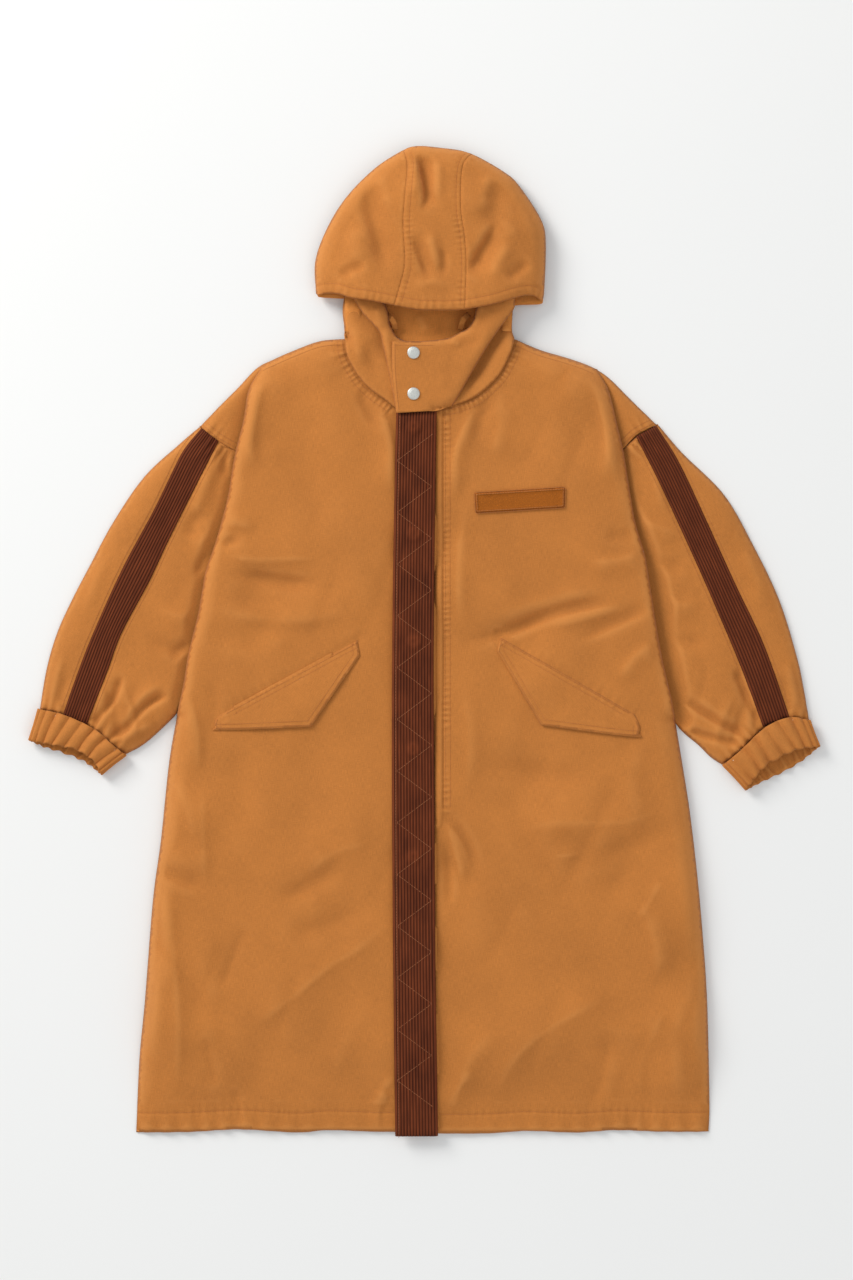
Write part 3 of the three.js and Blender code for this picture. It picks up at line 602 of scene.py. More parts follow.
def corduroy_look(name, colour):
    """Ribbed pile: painted shade dark between the ribs, redder and paler on them, brushed along
    them.
    """
    look = Look(name, 0.95, sheen=0.03, sheen_roughness=0.35)
    look.shader.inputs["Sheen Tint"].default_value = (0.8, 0.25, 0.08, 1)
    flat = look.attribute("flat").outputs["Vector"]
    rib = look.attribute("rib").outputs["Fac"]
    streak = look.speckle(flat, (0.35, 0.03, 1.0), 3.0, 0.6)
    pile = look.speckle(flat, (2.2, 0.9, 1.0), 3.0, 0.7)
    patch = look.speckle(flat, (0.05, 0.03, 1.0), 3.0, 0.6)
    crest = look.math("POWER", rib, 2.4)
    amount = look.math("MULTIPLY", crest, look.ramp(streak, 0.05, 0.62))
    amount = look.math("MULTIPLY", amount, look.ramp(patch, -0.5, 0.75), clamp=True)
    amount = look.math("ADD", amount, look.math("MULTIPLY", look.ramp(pile, 0.35, 0.8), 0.25))
    amount = look.math("ADD", amount, look.attribute("wear_and_shade").outputs["Fac"], clamp=True)
    # Painted shade: the grooves between the ribs get a dark colour, and the crests keep the cloth's
    # own.
    look.colour(look.mix(amount, (0.046, 0.0078, 0.0014, 1), shade(colour, 1)))
    look.normal(look.bump(pile, 0.6, 0.35))
    return look.material


def thread_look(name, colour):
    look = Look(name, 0.7)
    place = look.node("ShaderNodeTexCoord").outputs["Object"]
    tone = look.speckle(place, (900, 900, 900), 2.0)
    look.colour(look.mix(tone, shade(colour, 0.75), shade(colour, 1.2)))
    look.normal(look.bump(tone, 0.5, 0.08))
    return look.material


def pile_look(name, colour):
    """The looped side of a touch tape: tiny loops of uneven tone, with painted glints."""
    look = Look(name, 0.8, sheen=0.1)
    flat = look.attribute("flat").outputs["Vector"]
    cell = look.node("ShaderNodeTexVoronoi", Vector=look.scaled(flat, (0.95, 0.95, 1.0)), Scale=1.0)
    loops = look.speckle(flat, (0.8, 0.8, 1.0), 4.0, 0.75)
    # Painted glints: scattered spots much paler than the tape.
    painted_glints = look.ramp(look.speckle(flat, (0.55, 0.75, 1.0), 2.0), 0.6, 0.72)
    base = look.mix(look.ramp(loops, 0.3, 0.7), shade(colour, 0.6), shade(colour, 1.35))
    look.colour(look.mix(look.math("MULTIPLY", painted_glints, 0.4), base, shade(colour, 2.3)))
    tufts = look.bump(cell.outputs["Distance"], 0.8, 0.7)
    look.normal(look.bump(loops, 0.8, 0.5, tufts))
    return look.material


def metal_look(name, colour, roughness, scratches):
    look = Look(name, roughness, metallic=1.0)
    place = look.node("ShaderNodeTexCoord").outputs["Object"]
    fine = look.speckle(place, (scratches, scratches, scratches), 4.0, 0.6)
    look.colour(look.mix(look.ramp(fine, 0.3, 0.7), shade(colour, 0.85), shade(colour, 1.08)))
    look.link(look.ramp(fine, -1.2, 2.2), look.shader.inputs["Roughness"])
    look.normal(look.bump(fine, 0.15, 0.06))
    return look.material


def tape_look(name, colour):
    """Plain narrow weave, for zip tapes, pocket bags and elastic."""
    look = Look(name, 0.9)
    place = look.scaled(look.node("ShaderNodeTexCoord").outputs["Object"], (1000, 1000, 1000))
    rows = look.node("ShaderNodeTexWave", Vector=place, Scale=0.35, Distortion=0.4)
    tone = look.math("ADD", look.math("MULTIPLY", rows.outputs["Fac"], 0.5),
        look.speckle(place, (0.4, 0.4, 0.4)))
    look.colour(look.mix(look.ramp(tone, 0.4, 1.1), shade(colour, 0.75), shade(colour, 1.2)))
    look.normal(look.bump(tone, 0.5, 0.2))
    return look.material


TAN = (0.53, 0.187, 0.036)
looks = {
    "canvas": canvas_look("canvas", TAN),
    # The same canvas painted lighter, to make up for the shade on the inner surfaces.
    "canvas_inside": canvas_look("canvas_inside", shade(TAN, 1.35)[:3]),
    "corduroy": corduroy_look("corduroy", (0.205, 0.045, 0.0125)),
    "thread": thread_look("thread", (0.47, 0.17, 0.045)),
    "fly_thread": thread_look("fly_thread", (0.34, 0.12, 0.05)),
    "loop_patch": pile_look("loop_patch", (0.37, 0.1, 0.0042)),
    "snap_metal": metal_look("snap_metal", (0.70, 0.71, 0.67), 0.32, 900),
    "zip_metal": metal_look("zip_metal", (0.42, 0.27, 0.1), 0.35, 700),
    "lining_tape": tape_look("lining_tape", (0.26, 0.09, 0.02)),
    "elastic": tape_look("elastic", (0.72, 0.64, 0.52)),
}
# Every other look goes by its slot's own name
SLOT_OF = {name: name for name in looks}
SLOT_OF.update(canvas_inside="canvas", thread="canvas", fly_thread="corduroy")


def add_floor():
    h = FLOOR_HALF_MM
    vertices = [(-h, -h, 0), (h, -h, 0), (h, h, 0), (-h, h, 0)]
    floor = new_object("floor", vertices, [[0, 1, 2, 3]], None, smooth=False)
    look = Look("floor", 0.9)
    place = look.node("ShaderNodeTexCoord").outputs["Object"]
    tone = look.speckle(place, (1.5, 1.5, 1.5), 2.0)
    look.colour(look.mix(tone, (0.86, 0.86, 0.85, 1), (0.875, 0.875, 0.865, 1)))
    floor.data.materials.append(look.material)


add_floor()

# CAD nodes that keep their shape get their look from their record slot
for entry in frame["record"]["subparts"]:
    node = frame["nodes"][entry["node"]]
    if entry["material_slot"] in ("snap_metal", "zip_metal", "lining_tape", "elastic"):
        node.data.materials.clear()
        node.data.materials.append(looks[entry["material_slot"]])

# ------------------------------------------------------------------ plan of the coat

# Each side's paths run down or outwards. Right and left are the wearer's.
SHOULDER = {
    "right": [(-99, 380), (-131, 377), (-164, 365), (-189, 354), (-210, 343), (-234, 318),
        (-257, 295), (-280, 271)],
    "left": [(113, 380), (146, 366), (183, 355), (212, 344), (233, 330), (258, 305), (291, 273)],
}
ARM_FOLD = {
    "right": [(-205, 343), (-220, 315), (-226, 278), (-237, 233), (-246, 180), (-260, 128),
        (-273, 90), (-277, 68), (-284, 30), (-295, -15), (-301, -52), (-310, -93)],
    "left": [(217, 342), (231, 315), (240, 278), (249, 240), (255, 203), (264, 150), (276, 109),
        (283, 68), (290, 23), (298, -22), (307, -60), (315, -98)],
}
SIDE_SEAM = {
    "right": [(-310, -93), (-320, -153), (-330, -248), (-340, -323), (-350, -448), (-357, -523),
        (-361, -615)],
    "left": [(315, -98), (324, -153), (333, -210), (342, -285), (349, -360), (355, -448),
        (358, -573), (357, -614)],
}
HEM = {
    "right": [(-361, -615), (-290, -614), (-230, -611), (-160, -615), (-120, -612), (-60, -614),
        (-6, -614)],
    "left": [(357, -614), (300, -614), (240, -612), (190, -615), (130, -613), (80, -616),
        (6, -616)],
}
NECK_SEAM = {
    "right": [(-99, 380), (-97, 362), (-92, 349), (-79, 328), (-64, 313), (-47, 301), (-36, 292)],
    "left": [(113, 380), (111, 370), (105, 354), (92, 331), (67, 308), (43, 297), (12, 290)],
}
FRONT_EDGE_X = {"right": -2, "left": 13}
SIGN = {"right": -1, "left": 1}

FRONT_TOP, FRONT_LEAST = 20.0, 1.8
ZIP_BED = 21.2  # the fronts are level under the zip
ZIP_X = 6.0
CREASE_SCALE, FOLD_SCALE = 2.2, 2.0
FRONT_FOLDS = {
    "right": [
        # from the armpit across the chest
        ([(-246, 88), (-200, 80), (-150, 74), (-122, 78)], -2.6, 10, -0.2),
        ([(-270, 128), (-250, 124), (-226, 132)], -1.6, 6),
        ([(-236, 78), (-204, 42), (-184, -6)], -2.6, 24),
        ([(-240, -122), (-232, -190), (-226, -262)], -2.2, 20),
        ([(-95, -273), (-140, -302), (-184, -323)], -1.8, 12),
        ([(-275, 52), (-220, 34), (-150, 30), (-85, 44)], 2.4, 17, 0.3),
        ([(-272, 150), (-240, 150), (-205, 142)], 1.6, 10, 0.3),
        ([(-282, 20), (-240, 6), (-180, -10)], -1.4, 14),
        # from the shoulder and the neck
        ([(-203, 338), (-213, 308), (-220, 262), (-214, 205)], 3.4, 15, -0.35),
        ([(-60, 300), (-50, 276), (-42, 240), (-44, 180)], 2.0, 9, -0.4),
        ([(-84, 318), (-70, 288), (-56, 262)], -1.6, 8, 0.2),
        ([(-150, 352), (-120, 300), (-100, 230), (-96, 160)], 1.2, 26),
        ([(-180, 250), (-150, 200), (-110, 190)], -1.0, 24),
        # below the pocket
        ([(-255, -118), (-235, -190), (-228, -290)], 1.5, 20, 0.2),
        ([(-150, -100), (-140, -180), (-160, -270)], -1.0, 22),
        ([(-66, -330), (-120, -352), (-180, -372)], -1.6, 14),
        ([(-336, -282), (-300, -296), (-270, -304)], -2.2, 12, 0.2),
        ([(-60, -440), (-96, -500), (-112, -560)], 1.3, 17, 0.2),
        ([(-330, -300), (-318, -360), (-322, -440)], 1.8, 11),
        ([(-272, -360), (-268, -470), (-262, -600)], 1.6, 18),
        ([(-215, -400), (-205, -500), (-212, -600)], -0.9, 22),
        ([(-45, -560), (-56, -585), (-60, -612)], 1.4, 6, -0.3, 0.2),
        ([(-318, -160), (-296, -200), (-280, -260)], 1.3, 12, 0.2),
        ([(-300, -60), (-285, -110), (-284, -170)], 1.8, 11, -0.3),
        ([(-270, -40), (-262, -80), (-266, -130)], -1.0, 9),
    ],
    "left": [
        ([(58, -4), (112, 15), (169, 38), (217, 47), (256, 50)], -2.6, 9, 0.3),
        ([(80, 22), (130, 40), (190, 58), (240, 66)], 1.5, 12),
        ([(186, 2), (217, 15), (264, 36), (290, 50)], -2.3, 9, 0.3),
        ([(150, 18), (200, 32), (250, 48)], 1.6, 8),
        ([(276, 112), (240, 100), (200, 98)], 1.8, 12, 0.3),
        ([(270, 140), (246, 132), (222, 136)], -1.2, 9),
        ([(292, 0), (262, -22), (242, -52)], 1.8, 11, 0.3),
        ([(214, 338), (224, 300), (232, 250), (226, 190)], 3.2, 15, 0.3),
        ([(64, 296), (50, 262), (38, 226), (38, 170)], 2.1, 9, 0.4),
        ([(88, 318), (72, 280), (60, 240)], -1.6, 9),
        ([(100, 320), (96, 270), (84, 220)], 1.5, 12, 0.2),
        ([(150, 350), (140, 300), (120, 250)], -0.9, 20),
        ([(190, 300), (170, 240), (178, 120)], 1.0, 28),
        ([(54, 180), (44, 100), (46, 10)], 1.0, 8, 0.3),
        ([(28, -222), (38, -252), (50, -300)], 1.2, 7, 0.35, 0.25),
        ([(24, -240), (30, -285), (30, -340)], -1.4, 6),
        ([(312, -236), (250, -256), (200, -282)], -1.4, 14),
        ([(272, -320), (290, -370), (296, -430)], 2.0, 14, 0.2),
        ([(150, -236), (200, -262), (170, -290)], -1.8, 16),
        ([(52, -148), (110, -160), (180, -168), (236, -154)], -1.8, 16),
        ([(22, -212), (52, -248), (66, -292)], -1.5, 6, 0.2),
        ([(96, -480), (60, -520), (40, -575)], 1.4, 13, 0.2),
        ([(330, -420), (316, -500), (322, -600)], 1.8, 14),
        ([(286, -470), (276, -540), (282, -606)], -1.6, 16),
        ([(240, -500), (230, -560), (226, -606)], 1.1, 14),
        ([(150, -30), (130, -120), (140, -220)], -0.9, 26),
        ([(46, -40), (60, -120), (54, -200)], 1.3, 12, 0.2),
        ([(272, -110), (262, -170), (268, -240)], 1.5, 15),
    ],
}

# path, height, and the widths to its left and right
FRONT_CREASES = {
    "right": [
        ([(-262, 110), (-217, 102), (-170, 102), (-126, 104)], 2.2, 34, 9),
        ([(-36, -344), (-84, -384), (-119, -406), (-170, -448), (-225, -490)], 3.2, 22, 46),
        ([(-314, -350), (-308, -430), (-306, -487), (-308, -570)], 2.7, 18, 26),
        ([(-276, -490), (-269, -520), (-262, -560)], -1.6, 10, 10),
        ([(-222, -350), (-240, -396), (-256, -440)], -1.9, 12, 12),
        ([(-277, -170), (-275, -240), (-274, -310)], 2.2, 24, 28),
        ([(-60, -250), (-110, -262), (-150, -290)], 1.6, 20, 26),
        ([(-36, -536), (-52, -562), (-70, -592)], 1.4, 6, 7),
        ([(-238, -556), (-233, -580), (-229, -608)], -1.4, 5, 5),
    ],
    "left": [
        ([(244, -434), (157, -482), (110, -524), (90, -578)], 3.6, 30, 46),
        ([(229, -480), (225, -532), (206, -594)], -2.4, 30, 20),
        ([(309, -436), (272, -532), (282, -600)], 2.3, 26, 36),
        ([(298, -292), (282, -322), (264, -350)], 1.5, 8, 12),
        ([(310, -200), (254, -224), (150, -228), (110, -250)], 2.4, 26, 36),
        ([(160, 40), (96, 13), (40, -1)], -2.2, 14, 16),
        ([(60, -530), (44, -556), (30, -590)], 1.5, 12, 9),
    ],
}

HEM_STITCH_RISE = 25


def hem_line(word):
    return smooth_path(HEM[word]) + np.array([0, HEM_STITCH_RISE])


POCKET_FLAP = {
    "right": [(-82.5, 2.5), (-80, -17), (-141, -106), (-254, -110.5), (-261, -106), (-261, -97),
        (-254, -90.5)],
    "left": [(95, 6), (91, -11), (146, -104), (261, -118.5), (268, -113), (269, -104), (263, -90)],
}


def flap_fringe(points, word):
    """Where the fronts are drawn in along the flap's sewn edge."""
    top = POCKET_FLAP[word]
    line = straight([top[0], top[-1]])
    return groove(points, line, 0.8, 6) + pucker(points, line, 13, 0.35, 10, 31)


def front_height(points, word):
    edges = (SHOULDER, ARM_FOLD, SIDE_SEAM, HEM)
    d_shoulder, d_arm, d_side, d_hem = (gap_to(points, smooth_path(e[word])) for e in edges)
    z = np.full(len(points), FRONT_TOP)
    z *= 0.18 + 0.82 * roll(d_shoulder, 42)
    edge = 0.58 if word == "right" else 0.74
    z *= edge + (1 - edge) * roll(d_arm, 12)
    z *= 0.10 + 0.90 * roll(d_side, 26)
    z *= 0.36 + 0.64 * ease(d_hem / 130)
    z -= 3.2 * drop(d_hem, 3)
    free = ease(np.minimum(d_side, d_arm) / 18) * ease(d_shoulder / 25)
    slack = 6.4 * facets(points, (90, 150), 38, 5) + 2.6 * facets(points, (52, 96), -24, 6)
    slack += 0.35 * noise(turned(points, 20), (22, 46), 7) + 0.8 * noise(points, (60, 60), 8) - 2.6
    near_hem = ease(d_hem / 60) * 0.75 + 0.25
    sharp = CREASE_SCALE * sum(crease(points, *entry) for entry in FRONT_CREASES[word])
    z += free * near_hem * (FOLD_SCALE * folds(points, FRONT_FOLDS[word]) + sharp + slack)
    sewn_hem = hem_line(word)
    z += pucker(points, sewn_hem, 9.5, 0.35, 9, 11) + groove(points, sewn_hem, 0.7, 2.0)
    z += pucker(points, smooth_path(HEM[word]), 27, 1.1, 22, 12)
    neck = smooth_path(NECK_SEAM[word])
    outside = offset(neck, 6 * SIGN[word])
    z += pucker(points, outside, 6.5, 0.75, 6, 13) + pucker(points, outside, 17, 0.7, 16, 14)
    z += groove(points, neck, 1.0, 3) + flap_fringe(points, word)
    if word == "left":
        facing = straight([(28.5, 288), (28.5, -216)])
        z += pucker(points, facing, 8, 0.8, 5, 15)
        ridge = smooth_path([(19.5, 290), (19.5, 60), (20, -200), (15, -230)])
        z += 1.2 * np.exp(-((nearest(points, ridge)[0] / 3.4) ** 4))
        z += groove(points, smooth_path([(23.8, 290), (23.8, 60), (24, -206)]), 1.5, 1.3)
    beside_zip = 1 - ease((np.abs(points[:, 0] - ZIP_X) - 15) / 14)
    z = np.maximum(z, ZIP_BED * beside_zip * (points[:, 1] > -240))
    return np.maximum(z, FRONT_LEAST)


def offset(path, distance):
    """The path moved to its left."""
    along = np.gradient(path, axis=0)
    along /= np.linalg.norm(along, axis=1)[:, None]
    return path + np.stack([-along[:, 1], along[:, 0]], 1) * distance


def front_outline(word):
    edge = FRONT_EDGE_X[word]
    neck = smooth_path(NECK_SEAM[word])
    under_collar = offset(neck, -7 * SIGN[word])[::-1][:-2]
    return closed(smooth_path(SHOULDER[word])[: shoulder_end(word)], smooth_path(ARM_FOLD[word]),
        smooth_path(SIDE_SEAM[word]), smooth_path(HEM[word]), straight([(edge, -614), (edge, 284)]),
        under_collar)


def front_seams(word):
    """Lines along which the front is finely puckered."""
    neck = smooth_path(NECK_SEAM[word])
    flap = POCKET_FLAP[word]
    lines = [hem_line(word), offset(neck, 6 * SIGN[word]), straight([flap[0], flap[-1]])]
    if word == "left":
        lines.append(straight([(26, 288), (26, -230)]))
    return lines


def shoulder_end(word):
    """How much of the shoulder's path lies before the arm fold starts."""
    path = smooth_path(SHOULDER[word])
    start = np.array(ARM_FOLD[word][0])
    return int(np.linalg.norm(path - start, axis=1).argmin())


def on_each_side(height):
    """A height function of points and side as one function of points for each side."""
    return {word: lambda p, w=word: height(p, w) for word in SIDES}


FRONT = on_each_side(front_height)
for word in SIDES:
    cloth(f"{word}_front", front_outline(word), FRONT[word], replaces=(f"{word}_front_panel",),
        step=4.0, fine=front_seams(word))


# ------------------------------------------------------------------ back, caps and seams


def back_height(points):
    d = gap_to(points, ringed(BACK_OUTLINE))
    return 1.0 + 1.4 * drop(d, 9) + 0.25 * noise(points, (60, 60), 21)


BACK_OUTLINE = closed(straight([(-95, 372), (108, 372)]),
    smooth_path(SHOULDER["left"]) + np.array([-3, -4]),
    straight([(288, 268), (236, 236), (262, 150), (292, 0), (311, -98)]),
    smooth_path(SIDE_SEAM["left"]) + np.array([-4, 0]), smooth_path(HEM["left"]) + np.array([0, 3]),
    smooth_path(HEM["right"])[::-1] + np.array([0, 3]),
    smooth_path(SIDE_SEAM["right"])[::-1] + np.array([4, 0]),
    straight([(-306, -93), (-280, 10), (-258, 120), (-234, 236), (-277, 266)]),
    smooth_path(SHOULDER["right"])[::-1] + np.array([3, -4]))
cloth("back", BACK_OUTLINE, back_height, look="canvas_inside", step=14, replaces=("back_panel",),
    thick=CLOTH_MM_THIN)

ARMHOLE = {
    "right": [(-281, 271), (-270, 261), (-257, 251), (-237, 240), (-222, 232)],
    "left": [(293, 273), (279, 266), (264, 257), (249, 242), (232, 232)],
}


def lower_of(a, b, soft=1.3):
    """The lower of two heights, with the crossing rounded off."""
    least = np.minimum(a, b)
    return least - soft * np.log(np.exp((least - a) / soft) + np.exp((least - b) / soft))


def tucked(points, word, high, slope, bend=0.0):
    """What lies under the fold of the front is pressed down, and less so further out."""
    arm = smooth_path(ARM_FOLD[word])
    outside = np.maximum(nearest(points, arm)[0] * SIGN[word], 0)
    return np.clip(high + slope * outside + bend * outside**2, 1.6, 60)


def sleeve_tuck(points, word):
    if word == "right":
        return tucked(points, word, 7.5, 0.25, 0.02)
    deep = ease((190 - points[:, 1]) / 120)
    return tucked(points, word, 6.0 - 4.0 * deep, 0.3 - 0.3 * deep, 0.05 - 0.03 * deep)


def cap_height(points, word):
    shoulder = smooth_path(SHOULDER[word])
    seam = smooth_path(ARMHOLE[word])
    z = 2 + 9.5 * roll(gap_to(points, shoulder), 22)
    z += pucker(points, offset(seam, -6 * SIGN[word]), 9, 1.4, 11, 41)
    z += groove(points, seam, 0.8, 3)
    z += 1.2 * facets(points, (16, 34), 40 * SIGN[word], 42) - 0.5
    return lower_of(z, tucked(points, word, 7.5, 0.3))


CAP = on_each_side(cap_height)

for word in SIDES:
    shoulder = smooth_path(SHOULDER[word])
    outer = shoulder[max(shoulder_end(word) - 3, 0) :]
    inner = offset(smooth_path(ARM_FOLD[word])[:28], -9 * SIGN[word])[::-1]
    cap = cloth(f"{word}_shoulder_cap", closed(outer, smooth_path(ARMHOLE[word]), inner), CAP[word],
        body=None, step=2.4)
    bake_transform(cap)

# ------------------------------------------------------------------ sleeves

SLEEVE_OUTER = {
    "right": [(-280, 271), (-307, 248), (-351, 207), (-390, 150), (-418, 98), (-441, 54),
        (-460, 12), (-473, -32), (-482, -84)],
    "left": [(293, 273), (324, 237), (376, 185), (412, 123), (445, 54), (467, -16), (476, -57),
        (483, -98)],
}
SLEEVE_INNER = {
    "right": [(-225, 234), (-228, 200), (-238, 130), (-250, 60), (-268, 0), (-290, -60),
        (-308, -87), (-326, -106), (-351, -128), (-374, -141)],
    "left": [(236, 234), (240, 200), (250, 130), (262, 60), (278, 0), (298, -60), (317, -104),
        (345, -130), (359, -144), (374, -154)],
}
STRIPE_OUTER = {
    "right": [(-279, 268), (-301, 240), (-318, 206), (-340, 161), (-378, 90), (-415, 8),
        (-434, -41), (-452, -92)],
    "left": [(291, 271), (319, 225), (352, 154), (390, 71), (420, 8), (439, -41), (457, -94)],
}
STRIPE_INNER = {
    "right": [(-257, 251), (-291, 184), (-321, 124), (-344, 75), (-378, 11), (-396, -37),
        (-422, -104)],
    "left": [(265, 257), (296, 195), (334, 113), (364, 45), (394, -26), (424, -106)],
}
CUFF_SEAM = {
    "right": [(-482, -84), (-453, -90), (-422, -103), (-403, -115), (-393, -125), (-374, -141)],
    "left": [(483, -98), (457, -94), (427, -106), (397, -134), (374, -154)],
}
SLEEVE_FOLDS = {
    "right": [
        ([(-236, 150), (-262, 130), (-296, 118)], 1.6, 12, 0.3),
        ([(-262, 122), (-277, 100), (-284, 76)], -4.0, 9, 0.2),
        ([(-246, 256), (-250, 228), (-246, 198)], -3.0, 7),
        ([(-278, 168), (-290, 146), (-292, 124)], -2.2, 9),
        ([(-290, 6), (-304, -10), (-322, -20)], -2.4, 8),
        ([(-262, 40), (-300, 30), (-340, 44)], 2.0, 12, 0.3),
        ([(-276, 0), (-310, -8), (-350, 4)], -1.8, 10),
        ([(-398, -121), (-374, -110), (-359, -91), (-342, -76), (-318, -64)], -4.2, 6, 0.3, 0.2),
        ([(-388, -110), (-366, -92), (-350, -70), (-322, -48)], 2.2, 8),
        ([(-419, -108), (-403, -90), (-387, -68), (-378, -40)], -3.4, 5, 0.3, 0.2),
        ([(-384, -124), (-360, -112), (-336, -100)], 1.8, 6),
        ([(-262, 232), (-280, 180), (-296, 140)], 1.8, 8),
        ([(-246, 236), (-258, 190), (-262, 150)], -1.6, 8),
        ([(-362, -128), (-366, -90), (-378, -52)], 1.7, 6, 0.2),
        ([(-384, -124), (-386, -88), (-394, -58)], -1.6, 6),
        ([(-403, -112), (-402, -80), (-404, -44)], 1.5, 6, 0.2),
        ([(-470, -84), (-462, -50), (-450, -10)], 1.6, 7, 0.2),
        ([(-458, -86), (-452, -60), (-444, -36)], -1.2, 5),
        ([(-396, 120), (-410, 80), (-424, 34)], 1.3, 10),
    ],
    "left": [
        ([(262, 150), (296, 140), (322, 128)], 2.2, 12, -0.3),
        ([(268, 108), (300, 96), (336, 92)], -2.0, 10),
        ([(280, 60), (312, 46), (350, 44)], 2.2, 12, -0.3),
        ([(288, 16), (324, 0), (362, 2)], -1.8, 10),
        ([(406, -119), (381, -107), (340, -83), (316, -70)], -3.6, 6, -0.3, 0.2),
        ([(400, -106), (370, -92), (336, -66)], 1.8, 8),
        ([(420, -105), (411, -84), (399, -56), (390, -30)], -3.2, 5, 0.3, 0.2),
        ([(396, -128), (360, -119), (328, -110)], -3.0, 5, 0.0, 0.2),
        ([(278, 246), (290, 200), (302, 150)], 1.8, 8),
        ([(256, 240), (266, 190), (272, 150)], -1.6, 8),
        ([(362, -140), (372, -100), (388, -60)], 1.7, 7, 0.2),
        ([(384, -140), (392, -104), (404, -70)], -1.6, 6),
        ([(404, -122), (410, -90), (414, -50)], 1.5, 6, 0.2),
        ([(470, -96), (464, -60), (452, -20)], 1.6, 7, 0.2),
        ([(458, -94), (452, -66), (444, -38)], -1.2, 5),
        ([(398, 130), (414, 86), (430, 36)], 1.3, 10),
    ],
}


def sleeve_height(points, word):
    outer = smooth_path(SLEEVE_OUTER[word])
    inner = smooth_path(SLEEVE_INNER[word])
    seam = smooth_path(CUFF_SEAM[word])
    armhole = smooth_path(ARMHOLE[word])
    d_outer = gap_to(points, outer)
    d_inner = gap_to(points, inner)
    z = 1.8 + 11.2 * roll(np.minimum(d_outer, d_inner), 30)
    free = ease(d_outer / 16) * ease(d_inner / 10)
    slack = 2.0 * facets(points, (36, 74), 24 * SIGN[word], 51) - 0.8
    slack += 0.6 * facets(points, (18, 40), -16 * SIGN[word], 52)
    z += free * (1.55 * folds(points, SLEEVE_FOLDS[word]) + slack)
    z += pucker(points, offset(seam, 8 * SIGN[word]), 12, 2.0, 20, 53)
    z += pucker(points, offset(armhole, 7 * SIGN[word]), 9, 1.7, 15, 54)
    z += groove(points, seam, 1.4, 4) + groove(points, armhole, 1.6, 4)
    for edge in (STRIPE_OUTER, STRIPE_INNER):
        z += groove(points, smooth_path(edge[word]), 0.7, 3)
        z += pucker(points, smooth_path(edge[word]), 8, 0.3, 7, 55)
    return np.clip(lower_of(z, sleeve_tuck(points, word)), 1.6, 18)


SLEEVE = on_each_side(sleeve_height)


RIB_HEIGHT, RIB_COLUMNS = 1.05, 8
STRIPE_RIBS, FLY_RIBS = 10, 14


def corduroy(name, first, second, wales, height, body, replaces, mark=None):
    """A ribbed strip between two edges; its ribs run along it."""
    rows = max(len(first), len(second))
    way = np.linspace(0, 1, rows)

    def spread(path):
        at = np.linspace(0, 1, len(path))
        return np.stack([np.interp(way, at, path[:, k]) for k in (0, 1)], 1)

    a, b = spread(first), spread(second)
    columns = wales * RIB_COLUMNS + 1
    u = np.linspace(0, 1, columns)
    plan = (a[:, None] * (1 - u[None, :, None]) + b[:, None] * u[None, :, None]).reshape(-1, 2)
    across = np.tile(u, rows)
    rib = np.abs(np.sin(np.pi * across * wales)) ** 0.8
    length = np.r_[0, np.cumsum(np.linalg.norm(np.diff((a + b) / 2, axis=0), axis=1))]
    width = np.linalg.norm(b - a, axis=1).mean()
    flat = np.column_stack([across * width, np.repeat(length, columns), np.zeros(len(plan))])
    uneven = 0.8 + 0.2 * noise(flat[:, :2], (9, 5), 61)
    vertices = np.column_stack([plan, height(plan) + RIB_HEIGHT * rib * uneven])
    faces = grid_faces(rows, columns)
    if np.cross(b[0] - a[0], a[1] - a[0]) < 0:
        faces = faces[:, ::-1]
    shell, shell_faces = thicken(vertices, faces, 0.7)
    piece = new_object(name, shell, shell_faces, body)
    add_attribute(piece, "flat", np.vstack([flat, flat]))
    add_attribute(piece, "rib", np.r_[rib, rib * 0])
    # For ribbed cloth this attribute holds only worn marks, with no painted shade.
    wear_and_shade = np.zeros(len(plan)) if mark is None else mark(plan)
    add_attribute(piece, "wear_and_shade", np.r_[wear_and_shade, wear_and_shade * 0])
    piece.data.materials.append(looks["corduroy"])
    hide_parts(*replaces)
    declare(flat[:, :2], surface_area(vertices, faces))
    return piece


